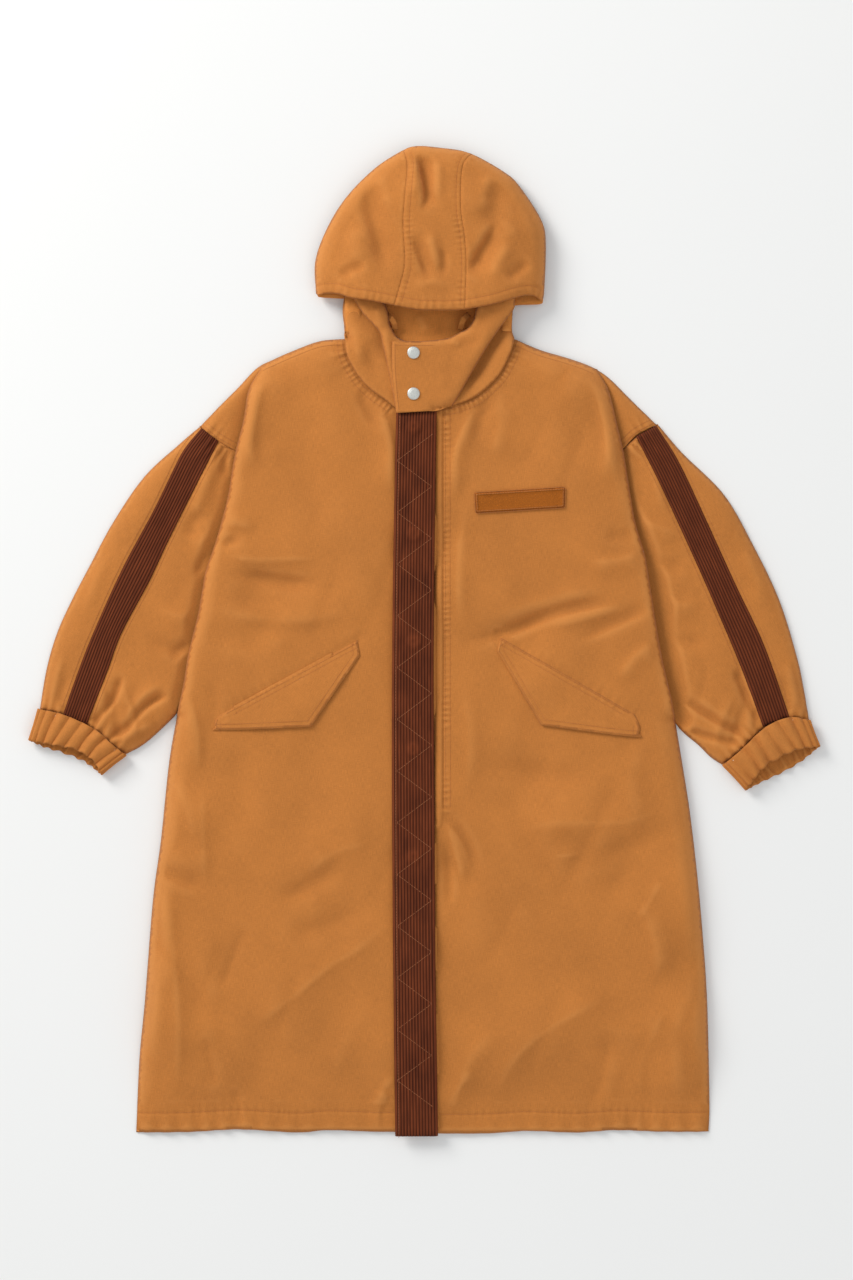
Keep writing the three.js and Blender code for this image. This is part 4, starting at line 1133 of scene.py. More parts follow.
for word in SIDES:
    body = f"{word}_sleeve"
    seam = smooth_path(CUFF_SEAM[word])
    outer = smooth_path(SLEEVE_OUTER[word])
    inner = smooth_path(SLEEVE_INNER[word])
    stripe_outer = smooth_path(STRIPE_OUTER[word])
    stripe_inner = smooth_path(STRIPE_INNER[word])
    under = 4 * SIGN[word]
    split_outer = offset(stripe_outer, -under)
    split_inner = offset(stripe_inner, under)
    near_outer = seam[: int(np.linalg.norm(seam - split_outer[-1], axis=1).argmin())]
    near_inner = seam[int(np.linalg.norm(seam - split_inner[-1], axis=1).argmin()) + 1 :]
    armhole = smooth_path(ARMHOLE[word])
    cloth(f"{word}_sleeve_outer", closed(outer, near_outer, split_outer[::-1]), SLEEVE[word],
        body=body, step=3.0, warp=25 * SIGN[word], replaces=(f"{word}_sleeve_outer_panel",))
    cloth(f"{word}_sleeve_inner", closed(split_inner, near_inner, inner[::-1], armhole[::-1][:6]),
        SLEEVE[word], body=body, step=3.0, warp=25 * SIGN[word],
        replaces=(f"{word}_sleeve_inner_panel",))
    corduroy(f"{word}_sleeve_stripe_cloth", stripe_outer, stripe_inner, STRIPE_RIBS, lambda p,
        w=word: SLEEVE[w](p) + 0.75, body, (f"{word}_sleeve_stripe",))
    shrink = 3 * SIGN[word]
    cloth(f"{word}_sleeve_under",
        closed(offset(outer, -shrink), seam[4:-4], offset(inner, shrink)[::-1]),
        lambda p: 1.1 + 0.2 * noise(p, (40, 40), 56), body=body, look="canvas_inside", step=12,
        replaces=(f"{word}_sleeve_back",), thick=CLOTH_MM_THIN)

# ------------------------------------------------------------------ cuffs

CUFF_MOUTH_TOP = {
    "right": [(-493, -123), (-465, -128), (-436, -134), (-423, -141), (-413, -148), (-404, -163)],
    "left": [(495, -130), (470, -133), (444, -145), (424, -157), (402, -184)],
}
CUFF_MOUTH_UNDER = {
    "right": [(-495, -124), (-477, -132), (-455, -138), (-430, -148), (-416, -158), (-405, -168)],
    "left": [(496, -132), (478, -147), (452, -162), (430, -173), (405, -187)],
}
PLEATS = 21
CUFF_AROUND, CUFF_ALONG = 250, 42  # the cuff's cut, as its weave is drawn
CUFF_MID_HEIGHT = 8.8


def cuff_surface(word, inset=0.0, low=0.0, high=1.0):
    seam = smooth_path(CUFF_SEAM[word], 2)
    top = smooth_path(CUFF_MOUTH_TOP[word], 2)
    under = smooth_path(CUFF_MOUTH_UNDER[word], 2)

    def on(path, share):
        at = np.linspace(0, 1, len(path))
        return np.stack([np.interp(share, at, path[:, k]) for k in (0, 1)], 1)

    def surface(u, v):
        v = low + (high - low) * v
        angle = 2 * np.pi * u
        spot = np.column_stack([u * 90, v * 30])
        swing = noise(spot, (9, 60), 71)
        flutter = noise(spot, (4.2, 30), 72)
        tight = 0.95 + 0.45 * noise(spot, (7, 60), 73)
        wave = np.sin(0.5 * PLEATS * angle + 1.2 * swing + 0.7 * v)
        ripple = (2 * np.abs(wave) - 1) * tight + 0.5 * flutter
        depth = (2.7 + 0.5 * np.cos(2 * np.pi * v)) * ripple
        c, s = np.cos(angle), np.sin(angle)
        half = np.sign(s) * np.abs(s) ** 0.72
        share = (1 - (1 - inset * 0.06) * np.sign(c) * np.abs(c) ** 0.92) / 2
        mouth = on(top, share) * ((1 + half) / 2)[:, None] + on(under, share) * ((1 - half) / 2)[:,
            None]
        place = on(seam, share) * (1 - v)[:, None] + mouth * v[:, None]
        across = on(seam, np.ones(1))[0] - on(seam, np.zeros(1))[0]
        across /= np.linalg.norm(across)
        outwards = np.array([across[1], -across[0]])
        place = place + across[None] * (0.35 * depth * -np.sign(c) * np.abs(c))[:, None]
        scallop = 1.6 * ease(v) * np.cos(PLEATS * angle + 0.8)
        place = place + outwards[None] * (scallop * np.abs(s))[:, None] * 0.6
        tall = (6.3 + 3.0 * np.sin(np.pi * np.clip(v, 0, 1) * 0.9)) * (1 - 0.25 * inset)
        z = CUFF_MID_HEIGHT + tall * half * (1 - 0.12 * v) + depth * s
        flat = np.column_stack([u * CUFF_AROUND, v * CUFF_ALONG, np.zeros(len(u))])
        return np.column_stack([place, np.clip(z, 1.2, 24)]), flat

    return surface


for word in SIDES:
    body = f"{word}_sleeve"
    tube_cloth(f"{word}_cuff_gathered", cuff_surface(word), PLEATS * 14, 16, "canvas", body,
        (f"{word}_cuff",))
    tube_cloth(f"{word}_cuff_band", cuff_surface(word, inset=1.0, low=0.08, high=0.42), PLEATS * 6,
        5, "elastic", body, (f"{word}_cuff_elastic",))

# ------------------------------------------------------------------ pockets


def flap_outline(word):
    p = POCKET_FLAP[word]
    tip = smooth_path(p[2:], 2.5)
    return closed(straight([p[-1], p[0], p[1], p[2]], 4), tip[1:-1])


def flap_height(points, word):
    ring = ringed(flap_outline(word))
    sewn = straight([POCKET_FLAP[word][0], POCKET_FLAP[word][-1]])
    d_ring = gap_to(points, ring)
    d_sewn = gap_to(points, sewn)
    z = FRONT[word](points) + 0.9 + 3.0 * ease(d_sewn / 46)
    z -= 0.8 * drop(d_ring, 2.4)
    z -= 0.35 * bell(d_ring - 7, 1.6)
    ripple = noise(points, (11, 11), 81) * bell(d_ring - 4, 5)
    return z + 0.45 * ripple


FLAP = on_each_side(flap_height)


def strip(start, end, wide):
    a, b = np.array(start, float), np.array(end, float)
    d = (b - a) / np.linalg.norm(b - a)
    n = np.array([-d[1], d[0]]) * wide / 2
    return straight([a + n, b + n, b - n, a - n, a + n], 4)[:-1]


for word in SIDES:
    side = SIGN[word]
    cloth(f"{word}_flap_cloth", flap_outline(word), FLAP[word], body=f"{word}_flap", step=3.4,
        warp=29 * side, replaces=(f"{word}_pocket_flap",))
    welt = strip((side * 112, -18), (side * 236, -86), 12)
    cloth(f"{word}_welt_cloth", welt, lambda p, w=word: FRONT[w](p) + 0.75, step=4,
        replaces=(f"{word}_pocket_welt",), thick=0.5)
    bag = straight([(side * 92, -10), (side * 255, -92), (side * 252, -248), (side * 92, -248),
        (side * 92, -10)], 8)
    cloth(f"{word}_bag_cloth", bag[:-1], lambda p: 12.6 + 0.5 * noise(p, (30, 30), 83),
        look="canvas_inside", step=9, replaces=(f"{word}_pocket_bag",),
        thick=CLOTH_MM_THIN)

# ------------------------------------------------------------------ loop patch on the chest

PATCH = [(63, 186), (176, 193), (175.5, 167.5), (64.5, 160.5)]


def patch_height(points):
    ring = straight([*PATCH, PATCH[0]], 3)
    d = gap_to(points, ring)
    rim = 1.0 * bell(d - 2.4, 1.7)
    return FRONT["left"](points) + 1.0 + 0.7 * roll(d, 1.6) + rim + 0.25 * noise(points, (4, 4), 85)


cloth("chest_patch_loops", straight([*PATCH, PATCH[0]], 3)[:-1], patch_height, look="loop_patch",
    step=2.4, replaces=("chest_loop_patch",))

# ------------------------------------------------------------------ zip

ZIP_TOP, ZIP_BOTTOM = 286, -228
TOOTH_PITCH, TOOTH_MARGIN = 2.6, 8


def tooth_row(name, side, node):
    """Stamped teeth, each a small rounded block that reaches past the middle."""
    vertices, faces = [], []
    count = int((ZIP_TOP - ZIP_BOTTOM - 2 * TOOTH_MARGIN) / TOOTH_PITCH)
    for k in range(count):
        y = ZIP_BOTTOM + TOOTH_MARGIN + TOOTH_PITCH * (k + (0.5 if side > 0 else 0))
        inner, outer = ZIP_X + side * -0.5, ZIP_X + side * 2.4
        base = len(vertices)
        for x, half in ((inner, 0.75), (ZIP_X + side * 0.8, 0.95), (outer, 0.6)):
            for z, share in ((17.7, 0.8), (19.0, 1.0), (20.3, 0.7)):
                vertices += [(x, y - half * share, z), (x, y + half * share, z)]
        for i in range(2):
            for j in range(2):
                for e in range(2):
                    a = base + i * 6 + j * 2 + e
                    faces.append([a, a + 6, a + 8, a + 2])
            for j in (0, 2):
                a = base + i * 6 + j * 2
                faces.append([a, a + 6, a + 7, a + 1])
        for i in (0, 2):
            for j in range(2):
                a = base + i * 6 + j * 2
                faces.append([a, a + 1, a + 3, a + 2])
    piece = new_object(name, vertices, faces, "coat", smooth=False)
    piece.data.materials.append(looks["zip_metal"])
    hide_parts(node)


for word, side in (("right", -1), ("left", 1)):
    tooth_row(f"{word}_teeth", side, f"{word}_zip_teeth")
    xs = sorted((ZIP_X + side * 1.2, ZIP_X + side * 13))
    tape = straight([(xs[0], ZIP_BOTTOM), (xs[1], ZIP_BOTTOM), (xs[1], ZIP_TOP), (xs[0], ZIP_TOP),
        (xs[0], ZIP_BOTTOM)], 4)
    cloth(f"{word}_tape_cloth", tape[:-1], lambda p: 19.2 + 0.1 * noise(p, (4, 9), 87),
        look="lining_tape", step=4, replaces=(f"{word}_zip_tape",),
        thick=0.5)

# ------------------------------------------------------------------ fly

FLY_LEFT = [(-34.5, 288), (-36, 230), (-38, 120), (-39.5, 0), (-40, -150), (-39, -330),
    (-37.5, -480), (-36, -618)]
FLY_RIGHT = [(15.8, 290), (14.5, 220), (13, 100), (12, -40), (13, -200), (14, -380), (16, -520),
    (17.5, -618)]
FLY_SNAPS = []
for number in range(1, 6):
    snap_low, snap_high = (np.array(v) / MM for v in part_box(f"front_snap_socket_{number}"))
    FLY_SNAPS.append((snap_low[:2] + snap_high[:2]) / 2)
SNAP_HEAD_TOP = float(snap_high[2])
ZIGZAG_TOP, ZIGZAG_STEP, ZIGZAG_TURNS = 258, 32.2, 26
ZIGZAG_LEFT, ZIGZAG_RIGHT = -33.5, 9.5
FLY_TOP, FLY_LINING_TOP, FLY_JOIN_TOP = 28.3, 26.6, 21.6


def fly_drop(points):
    """Towards the hem the fly comes down with the fronts, and at the top it goes under."""
    return 13 * ease((-480 - points[:, 1]) / 136) + 3 * ease((points[:, 1] - 279) / 8)


def fly_height(points):
    left, right = smooth_path(FLY_LEFT), smooth_path(FLY_RIGHT)
    d_left = gap_to(points, left)
    d_right = gap_to(points, right)
    z = FLY_TOP - fly_drop(points) - 2.3 * drop(d_left, 7) - 3.4 * drop(d_right, 7)
    z += 0.55 * noise(points, (30, 42), 91) + 0.2 * noise(points, (8, 12), 92)
    z -= 1.2 * (1 - ease((points[:, 1] + 618) / 5))
    z += pucker(points, right, 14, 0.4, 8, 93)
    for x, y in FLY_SNAPS:
        d = np.hypot(points[:, 0] - x, points[:, 1] - y)
        z -= 0.4 * bell(d - 10, 2)
        z = np.where(d < 11, np.maximum(z, SNAP_HEAD_TOP + 0.9 - 1.4 * ease((d - 6.5) / 4)), z)
    return z + groove(points, zigzag_path(), 0.35, 1.2)


def zigzag_path():
    turns = []
    for k in range(ZIGZAG_TURNS + 1):
        y = ZIGZAG_TOP - k * ZIGZAG_STEP
        turns.append((ZIGZAG_LEFT if k % 2 else ZIGZAG_RIGHT, max(y, -612)))
    return straight(turns, 3)


def fly_marks(points):
    """The nap is rubbed off over the hidden snaps and along the edges."""
    worn = np.zeros(len(points))
    for x, y in FLY_SNAPS:
        d = np.hypot(points[:, 0] - x, points[:, 1] - y)
        worn += 0.28 * bell(d - 5, 3)
    d_left = np.abs(nearest(points, smooth_path(FLY_LEFT))[0])
    d_right = np.abs(nearest(points, smooth_path(FLY_RIGHT))[0])
    worn += 0.35 * bell(np.minimum(d_left, d_right), 1.5)
    worn += 0.12 * noise(points, (12, 25), 94)
    return worn


corduroy("fly_corduroy", smooth_path(FLY_LEFT), smooth_path(FLY_RIGHT), FLY_RIBS, fly_height,
    "front_fly", ("fly_facing",), fly_marks)
fly_lining = closed(smooth_path(FLY_LEFT) + np.array([1.5, 0]), straight([(-34, -616), (15, -616)]),
    smooth_path(FLY_RIGHT)[::-1] + np.array([-3, 0]), straight([(12, 287), (-33, 286)]))
cloth("fly_lining", fly_lining,
    lambda p: np.minimum(fly_height(p) - 1.2, FLY_LINING_TOP - fly_drop(p)), body="front_fly",
    step=6, replaces=("fly_backing",), thick=0.7)
fly_join = closed(smooth_path(FLY_RIGHT)[:-2] + np.array([-5, 0]),
    straight([(14, -611), (19, -611)]), smooth_path(FLY_RIGHT)[:-2][::-1] + np.array([2.5, 0]))
cloth("fly_join", fly_join, lambda p: FLY_JOIN_TOP - fly_drop(p) + 0.1 * noise(p, (9, 18), 95),
    step=4, replaces=("fly_seam",), body="front_fly")

# ------------------------------------------------------------------ collar

RIM = [(-50, 424), (-47, 419), (-44, 407), (-42, 395), (-35, 383), (-26, 377), (-10, 375),
    (17, 377), (33, 380), (44, 386), (55, 392), (62, 404), (66, 424)]
LOWER_EDGE = [(-90, 432), (-86, 425), (-74, 407), (-56, 387), (-52, 372), (-46, 345), (-40, 315),
    (-35, 290)]
WRAP_FOLD = [(113, 422), (112, 415), (96, 393), (80, 370), (62, 340), (44, 308), (34, 292)]
TAB_LEFT = [(-40, 374), (-40, 345), (-38, 315), (-35, 286)]


def under_collar_height(points):
    silhouette = smooth_path([(-96, 380), (-100, 395), (-102, 415), (-100, 436)])
    edge = smooth_path(LOWER_EDGE)
    neck = smooth_path(NECK_SEAM["right"])
    z = 9 + 15.5 * roll(gap_to(points, silhouette), 26)
    z -= 6.5 * bell(nearest(points, edge)[0], 13) * ease((points[:, 1] - 330) / 50)
    z += fold(points, [(-88, 402), (-84, 372), (-76, 344)], 2.6, 9, 0.3)
    z += fold(points, [(-72, 384), (-66, 352), (-54, 322)], -2.0, 8)
    z += pucker(points, offset(neck, -7), 9, 0.6, 9, 101) - 1.2 * rim_of(points, neck, 3)
    return z + 0.6 * noise(points, (16, 22), 102)


def upper_collar_height(points):
    edge = smooth_path(LOWER_EDGE)
    rim = smooth_path(RIM)
    neck = smooth_path(NECK_SEAM["right"])
    z = 27.2 - 2.4 * rim_of(points, edge, 6)
    z -= 9 * rim_of(points, rim, 10)
    z += fold(points, [(-60, 420), (-56, 400), (-52, 388)], 1.6, 6)
    z += fold(points, [(-49, 395), (-46, 376), (-43, 350)], 1.3, 4)
    z -= 3.0 * rim_of(points, neck, 7)
    return z + 0.4 * noise(points, (10, 14), 103)


def wrap_height(points):
    """The overlap that carries the two snaps and wraps over to the other side of the neck."""
    left = smooth_path(TAB_LEFT)
    rim = smooth_path(RIM)
    fold_line = smooth_path(WRAP_FOLD)
    neck = smooth_path(NECK_SEAM["left"])
    z = np.full(len(points), 31.1)
    z -= 1.5 * rim_of(points, left, 4)
    z -= 9 * rim_of(points, rim, 9) * ease((points[:, 0] + 44) / 10)
    z -= 5.0 * rim_of(points, fold_line, 12)
    z -= 5.5 * rim_of(points, neck, 12)
    away = ease((points[:, 0] - 2) / 18)
    z += away * fold(points, [(30, 376), (40, 372), (46, 366)], 1.6, 5)
    z += away * fold(points, [(52, 388), (66, 396), (78, 412)], -1.8, 7)
    z += away * fold(points, [(44, 380), (60, 372), (76, 384)], -1.3, 6)
    z += away * fold(points, [(88, 404), (72, 372), (48, 330)], 1.4, 10)
    z += away * fold(points, [(22, 350), (34, 330), (36, 306)], -1.2, 9)
    z += 0.35 * away * noise(points, (12, 12), 104) + 0.12 * noise(points, (9, 9), 105)
    z += pucker(points, offset(neck, 7), 9, 0.5, 8, 106) * away
    return z


def right_collar_height(points):
    fold_line = smooth_path(WRAP_FOLD)
    neck = smooth_path(NECK_SEAM["left"])
    silhouette = smooth_path([(113, 436), (111, 390), (116, 378)])
    z = 11 + 12.5 * roll(gap_to(points, silhouette), 16)
    z -= 9 * bell(nearest(points, fold_line)[0], 12) * ease((points[:, 1] - 300) / 40)
    z += pucker(points, offset(neck, 7), 9, 0.6, 9, 107) - 1.2 * rim_of(points, neck, 3)
    return z + 0.5 * noise(points, (16, 20), 108)


def neck_height(points):
    z = 7 + 0.9 * noise(points, (18, 30), 109)
    z += fold(points, [(-8, 414), (-2, 398), (4, 384)], 1.8, 7)
    z += fold(points, [(14, 412), (20, 396), (18, 380)], -1.4, 6)
    return z + 7 * (1 - ease((points[:, 1] - 360) / 30))


collar_pieces = {
    "collar_under": (
        closed(
            straight([(-100, 436), (-60, 436)]),
            smooth_path([(-60, 436), (-50, 400), (-40, 360), (-30, 330), (-28, 288)]),
            smooth_path(NECK_SEAM["right"])[::-1],
            smooth_path([(-99, 380), (-100, 395), (-102, 415), (-100, 434)]),
        ),
        under_collar_height,
        ("right_collar",),
    ),
    "collar_upper": (
        closed(
            smooth_path(LOWER_EDGE)[::-1],
            straight([(-90, 432), (-51, 432)]),
            smooth_path(RIM)[:17],
            straight([(-24, 376), (-20, 366), (-26, 330), (-29, 289)]),
        ),
        upper_collar_height,
        (),
    ),
    "collar_left": (
        closed(
            straight([(113, 436), (92, 436)]),
            smooth_path([(92, 430), (66, 380), (48, 345), (26, 312), (14, 292)]),
            smooth_path(NECK_SEAM["left"])[::-1],
            smooth_path([(113, 380), (110, 390), (111, 410), (113, 434)]),
        ),
        right_collar_height,
        ("left_collar",),
    ),
}
for name, (outline, height, nodes) in collar_pieces.items():
    cloth(name, outline, height, step=2.4, replaces=nodes, warp=8)

rim = smooth_path(RIM)
wrap = cloth("collar_wrap", closed(smooth_path(TAB_LEFT)[::-1],
    straight([(-40, 374), (-28, 374.5)]), rim[[k for k in range(len(rim)) if rim[k, 0] > -20]],
    straight([(68, 432), (113, 432)]), smooth_path(WRAP_FOLD),
    straight([(34, 294), (16, 288), (-34, 285)])), wrap_height, body=None, step=2.2,
    replaces=("throat_tab",))
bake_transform(wrap)

RIBBON_COLUMNS = 7


def ribbon(name, centre, wide, body, nodes, look="canvas"):
    """A narrow strip along a line in space, which goes with a larger piece."""
    line = resample(np.array(centre, float), 1.5)
    along = np.gradient(line, axis=0)
    along /= np.linalg.norm(along, axis=1)[:, None]
    side = np.stack([-along[:, 1], along[:, 0], np.zeros(len(line))], 1)
    side /= np.maximum(np.linalg.norm(side, axis=1), 1e-6)[:, None]
    shares = np.linspace(-0.5, 0.5, RIBBON_COLUMNS)
    vertices = (line[:, None] + side[:, None] * shares[None, :, None] * wide).reshape(-1, 3)
    rows = len(line)
    faces = grid_faces(rows, RIBBON_COLUMNS)[:, [0, 3, 2, 1]]
    length = np.r_[0, np.cumsum(np.linalg.norm(np.diff(line, axis=0), axis=1))]
    length = np.repeat(length, RIBBON_COLUMNS)
    flat = np.column_stack([np.tile(shares * wide, rows), length, np.zeros(len(length))])
    if vertex_normals(vertices, faces)[:, 2].mean() < 0:
        faces = faces[:, ::-1]
    return finish_cloth(name, vertices, faces, look, body, flat, nodes, None, 0.8)


LOOP_WIDTH = 7
LOOP_X = {"right": (-47, -41, -37, -36), "left": (56, 50, 47, 46)}
LOOP_Y_Z = ((410, 14), (404, 20), (398, 19), (390, 14))
loops = [ribbon(f"{word}_loop_cloth", [(x, *y_z) for x, y_z in zip(LOOP_X[word], LOOP_Y_Z)],
    LOOP_WIDTH, "hood", (f"{word}_hood_loop",)) for word in SIDES]

hanger_low, hanger_high = (np.array(v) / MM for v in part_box("hanger_loop"))
hanger_y = (hanger_low[1] + hanger_high[1]) / 2
hanger = ribbon("hanger_cloth", [(hanger_low[0], hanger_y - 3, hanger_low[2] + 0.4),
    (hanger_low[0] * 0.75 + hanger_high[0] * 0.25, hanger_y + 1, hanger_high[2] - 0.4),
    (hanger_low[0] * 0.25 + hanger_high[0] * 0.75, hanger_y + 1, hanger_high[2] - 0.4),
    (hanger_high[0], hanger_y - 3, hanger_low[2] + 0.4)], 5, "coat", ("hanger_loop",),
    look="lining_tape")

neck_inside = cloth("neck_inside",
    straight([(-92, 446), (-96, 390), (-60, 362), (70, 362), (106, 386), (104, 446), (-92, 446)],
    4)[:-1], neck_height, body=None, look="canvas_inside", step=4, held="gathered")
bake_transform(neck_inside)

# ------------------------------------------------------------------ hood

HOOD_DOME = [(-135.5, 436.5), (-136, 478), (-120, 521), (-95.7, 559), (-61.8, 593), (-28.9, 614.5),
    (-10, 621), (19.9, 619), (57.8, 612), (102.7, 587), (121.6, 568), (147, 528), (152.5, 499),
    (150.5, 440), (148.5, 427.5)]
BRIM = [(148.1, 426.2), (137.1, 431.2), (125.2, 431.2), (107.3, 426.2), (89.4, 420.3),
    (66.6, 415.3), (40.8, 411.8), (10.9, 411.3), (-11.9, 412.8), (-39.7, 418.3), (-70.5, 424.2),
    (-90.4, 427.2), (-108.3, 433.2), (-121.2, 434.2), (-133.1, 433.2)]
CROWN_SEAM = {
    "right": [(-26, 615), (-21, 594), (-24.8, 541.7), (-25.8, 516.9), (-23.8, 470.2),
        (-29.8, 442.3), (-36.8, 417.5)],
    "left": [(60, 611), (48, 591), (45.7, 540.8), (50.7, 503), (52.7, 470.2), (51.7, 437.4),
        (50.7, 412.5)],
}
# points beyond the crown seams' ends, outside the hood
CROWN_ENDS = {"right": ((-25, 640), (-40, 400)), "left": ((60, 640), (51, 400))}
HOOD_FOLDS = [
    ([(-8, 612), (0, 580), (3, 553), (-3, 532)], -5.2, 8, 0.5),
    ([(-14, 604), (-12, 575), (-10, 548)], 2.2, 7),
    ([(14, 606), (16, 572), (14, 546)], 2.0, 8),
    ([(-15, 510), (-5, 484), (3, 461), (6, 446)], -2.8, 8, 0.3),
    ([(6, 512), (12, 486), (20, 462)], 1.8, 8),
    ([(21, 492), (24, 474), (24, 452)], -1.6, 5),
    ([(96, 528), (80, 500), (66, 476), (55, 450)], -4.6, 11, 0.4),
    ([(86, 578), (88, 540), (80, 505)], -3.4, 18),
    ([(112, 500), (96, 478), (80, 448)], 1.8, 10),
    ([(-72, 580), (-58, 510), (-40, 450)], -5.4, 18, 0.3),
    ([(-88, 520), (-84, 490), (-80, 466)], 1.8, 14),
    ([(-108, 452), (-90, 464), (-70, 466)], -2.0, 7),
    ([(100, 449), (116, 462), (132, 476)], -2.0, 7),
    ([(-20, 440), (10, 446), (40, 440)], 1.2, 8),
    ([(-60, 590), (-48, 560), (-44, 530)], 1.4, 9),
    ([(84, 590), (76, 560), (74, 530)], 1.5, 9),
]


def hood_height(points):
    dome = smooth_path(HOOD_DOME)
    brim = smooth_path(BRIM)
    d_dome = gap_to(points, dome)
    d_brim = gap_to(points, brim)
    z = 8 + 19 * roll(d_dome, 20) + 13 * ease(d_dome / 70)
    z -= 3.5 * drop(d_brim, 12)
    z += 3.5 * ease((d_dome - 16) / 24) * bell(d_brim, 30)
    free = ease(d_dome / 24)
    z += free * (1.9 * folds(points, HOOD_FOLDS) + 1.3 * noise(points, (34, 40), 111))
    z += free * (0.5 * noise(turned(points, 30), (12, 26), 112) + 0.1 * noise(points, (8, 8), 117))
    hem = offset(brim, -12)
    z += groove(points, hem, 0.6, 2.4) + pucker(points, offset(brim, -6), 10, 0.5, 8, 113)
    for word in SIDES:
        seam = smooth_path(CROWN_SEAM[word])
        z += groove(points, seam, 0.8, 1.6)
        beside = offset(seam, 7 if word == "right" else -6)
        z += pucker(points, beside, 7, 0.7, 6, 114) + groove(points, beside, 0.4, 2)
    return z


def crown_side(points, word, gap):
    """Positive on the outer side of a crown seam."""
    start, end = CROWN_ENDS[word]
    seam = smooth_path([start, *CROWN_SEAM[word], end])
    side = nearest(points, seam)[0]
    return (-side if word == "right" else side) - gap


hood_outline = closed(smooth_path(HOOD_DOME), smooth_path(BRIM))


GAP = -0.3
seam_right = smooth_path(CROWN_SEAM["right"])
seam_left = smooth_path(CROWN_SEAM["left"])


def panel_outline(word):
    """The outline's part beyond one crown seam, closed along the seam."""
    keep = crown_side(hood_outline, word, 2.5) > 0
    start = int(np.flatnonzero(keep & ~np.roll(keep, 1))[0])
    ring = np.roll(hood_outline, -start, axis=0)[: int(keep.sum())]
    seam = seam_right if word == "right" else seam_left
    shifted = offset(seam, -GAP if word == "right" else GAP)
    if np.linalg.norm(ring[-1] - shifted[0]) > np.linalg.norm(ring[-1] - shifted[-1]):
        shifted = shifted[::-1]
    return closed(ring, shifted)


def middle_outline():
    keep = (crown_side(hood_outline, "right", -2.5) < 0) & (crown_side(hood_outline, "left",
        -2.5) < 0)
    ring = hood_outline[keep]
    top = ring[ring[:, 1] > 520]
    bottom = ring[ring[:, 1] < 520]
    top = top[top[:, 0].argsort()]
    bottom = bottom[(-bottom[:, 0]).argsort()]
    return closed(top, offset(seam_left, -GAP), bottom, offset(seam_right, GAP)[::-1])


for name, outline, node in (("hood_crown_right", panel_outline("right"), "hood_right_panel"),
    ("hood_crown_left", panel_outline("left"), "hood_left_panel"),
    ("hood_crown_centre", middle_outline(), "hood_centre_panel")):
    cloth(name, outline, hood_height, body="hood", step=3.2,
        fine=[offset(smooth_path(BRIM), -9), offset(seam_right, 5), offset(seam_left, -4)],
        replaces=(node,), held="draped", thick=1.1)


def hood_under_height(points):
    dome = smooth_path(HOOD_DOME)
    z = 2.2 + 1.5 * rim_of(points, dome, 10)
    corner = ease((np.abs(points[:, 0] - 8) - 84) / 30) * ease((470 - points[:, 1]) / 40)
    return z + 6 * corner + 0.5 * noise(points, (24, 30), 115)


hood_under = closed(smooth_path(HOOD_DOME[:-1]) * np.array([0.985, 1]) + np.array([0, -3]),
    smooth_path([(149, 428), (146, 423), (120, 422), (100, 421), (84, 430), (60, 442), (-40, 442),
    (-80, 430), (-100, 430), (-122, 431), (-132, 432)]))
cloth("hood_under", hood_under, hood_under_height, body="hood", look="canvas_inside", step=5,
    replaces=("hood_back_panel",))


def cheek_height(points):
    return 15 + 2.5 * noise(points, (20, 20), 116) * 0.4 + 3 * ease((450 - points[:, 1]) / 40)


for word, outline in (("right",
    [(-97, 386), (-84, 386), (-70, 446), (-96, 450), (-99, 430), (-97, 386)]),
    ("left", [(109, 388), (98, 388), (84, 446), (108, 450), (111, 430), (109, 388)])):
    cheek = cloth(f"{word}_cheek_cloth", straight(outline, 4)[:-1], cheek_height, body=None,
        look="canvas_inside", step=5, replaces=(f"{word}_hood_cheek",))
    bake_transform(cheek)


# ------------------------------------------------------------------ stitching


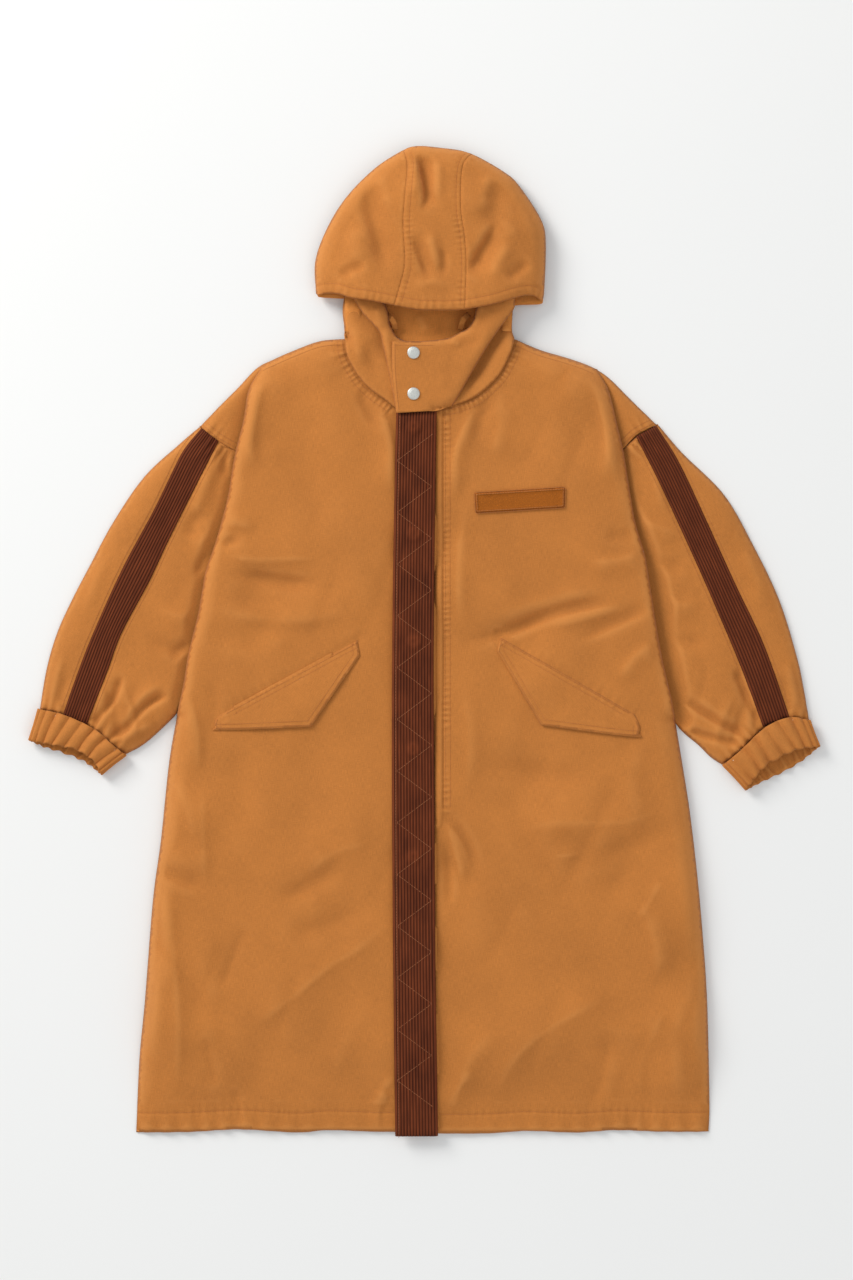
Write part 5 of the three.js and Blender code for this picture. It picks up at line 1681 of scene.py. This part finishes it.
for word in SIDES:
    side = SIGN[word]
    neck = smooth_path(NECK_SEAM[word])
    shoulder = smooth_path(SHOULDER[word])
    seam_back = offset(shoulder, -8 * side)[2 : shoulder_end(word)]
    lines = [(hem_line(word)[1:-2], FRONT[word]), (offset(neck, 3.5 * side)[1:-1], FRONT[word]),
        (offset(neck, 10 * side)[1:-2], FRONT[word]), (seam_back, FRONT[word])]
    if word == "left":
        lines.append((straight([(26.5, 286), (26.5, 20), (27, -204)]), FRONT[word]))
        lines.append((straight([(32.5, 286), (32.5, 20), (33, -204)]), FRONT[word]))
    stitching(f"{word}_front_stitches", lines, "coat")
    ring = ringed(flap_outline(word))
    inset = -2.6 if side < 0 else 2.6
    edge = offset(resample(ring, 3), inset)[3:-3]
    second = offset(resample(ring, 3), inset * 3)[5:-5]
    stitching(f"{word}_flap_stitches", [(edge, FLAP[word]), (second, FLAP[word])], f"{word}_flap")
    armhole = smooth_path(ARMHOLE[word])
    cap = CAP[word]
    sewn = stitching(f"{word}_armhole_stitches",
        [(offset(armhole, -3.5 * side)[1:-3], cap), (offset(armhole, -9 * side)[2:-3], cap)], None)
    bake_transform(sewn)
    seams = [(offset(smooth_path(STRIPE_OUTER[word]), 4 * side)[3:-3], SLEEVE[word]),
        (offset(smooth_path(STRIPE_INNER[word]), -4 * side)[3:-3], SLEEVE[word])]
    stitching(f"{word}_sleeve_stitches", seams, f"{word}_sleeve")

patch_ring = straight([*PATCH, PATCH[0]], 3)
stitching("patch_stitches",
    [(offset(patch_ring, -2.4)[1:-1], patch_height), (offset(patch_ring, 0.2)[1:-1], patch_height)],
    "coat", radius=0.5)
stitching("fly_stitches", [(zigzag_path(), lambda p: fly_height(p) + 0.75),
    (smooth_path(FLY_LEFT) + np.array([4.5, 0]), lambda p: fly_height(p) + 0.6)], "front_fly",
    look="fly_thread", pitch=3.8, length=2.9, radius=0.36)
brim_line = smooth_path(BRIM)
stitching("hood_stitches", [(offset(brim_line, -12)[3:-3], hood_height),
    (offset(seam_right, 7.5)[2:-2], hood_height), (offset(seam_left, -6)[2:-2], hood_height)],
    "hood")
wrap_stitches = [(offset(smooth_path(TAB_LEFT), 4)[1:-1], wrap_height),
    (straight([(-36, 369.5), (10, 369)]), wrap_height)]
stitching("wrap_stitches", wrap_stitches, "front_fly")
stitching("collar_stitches",
    [(offset(smooth_path(NECK_SEAM["left"]), 3.5)[4:-6], right_collar_height)], "coat")
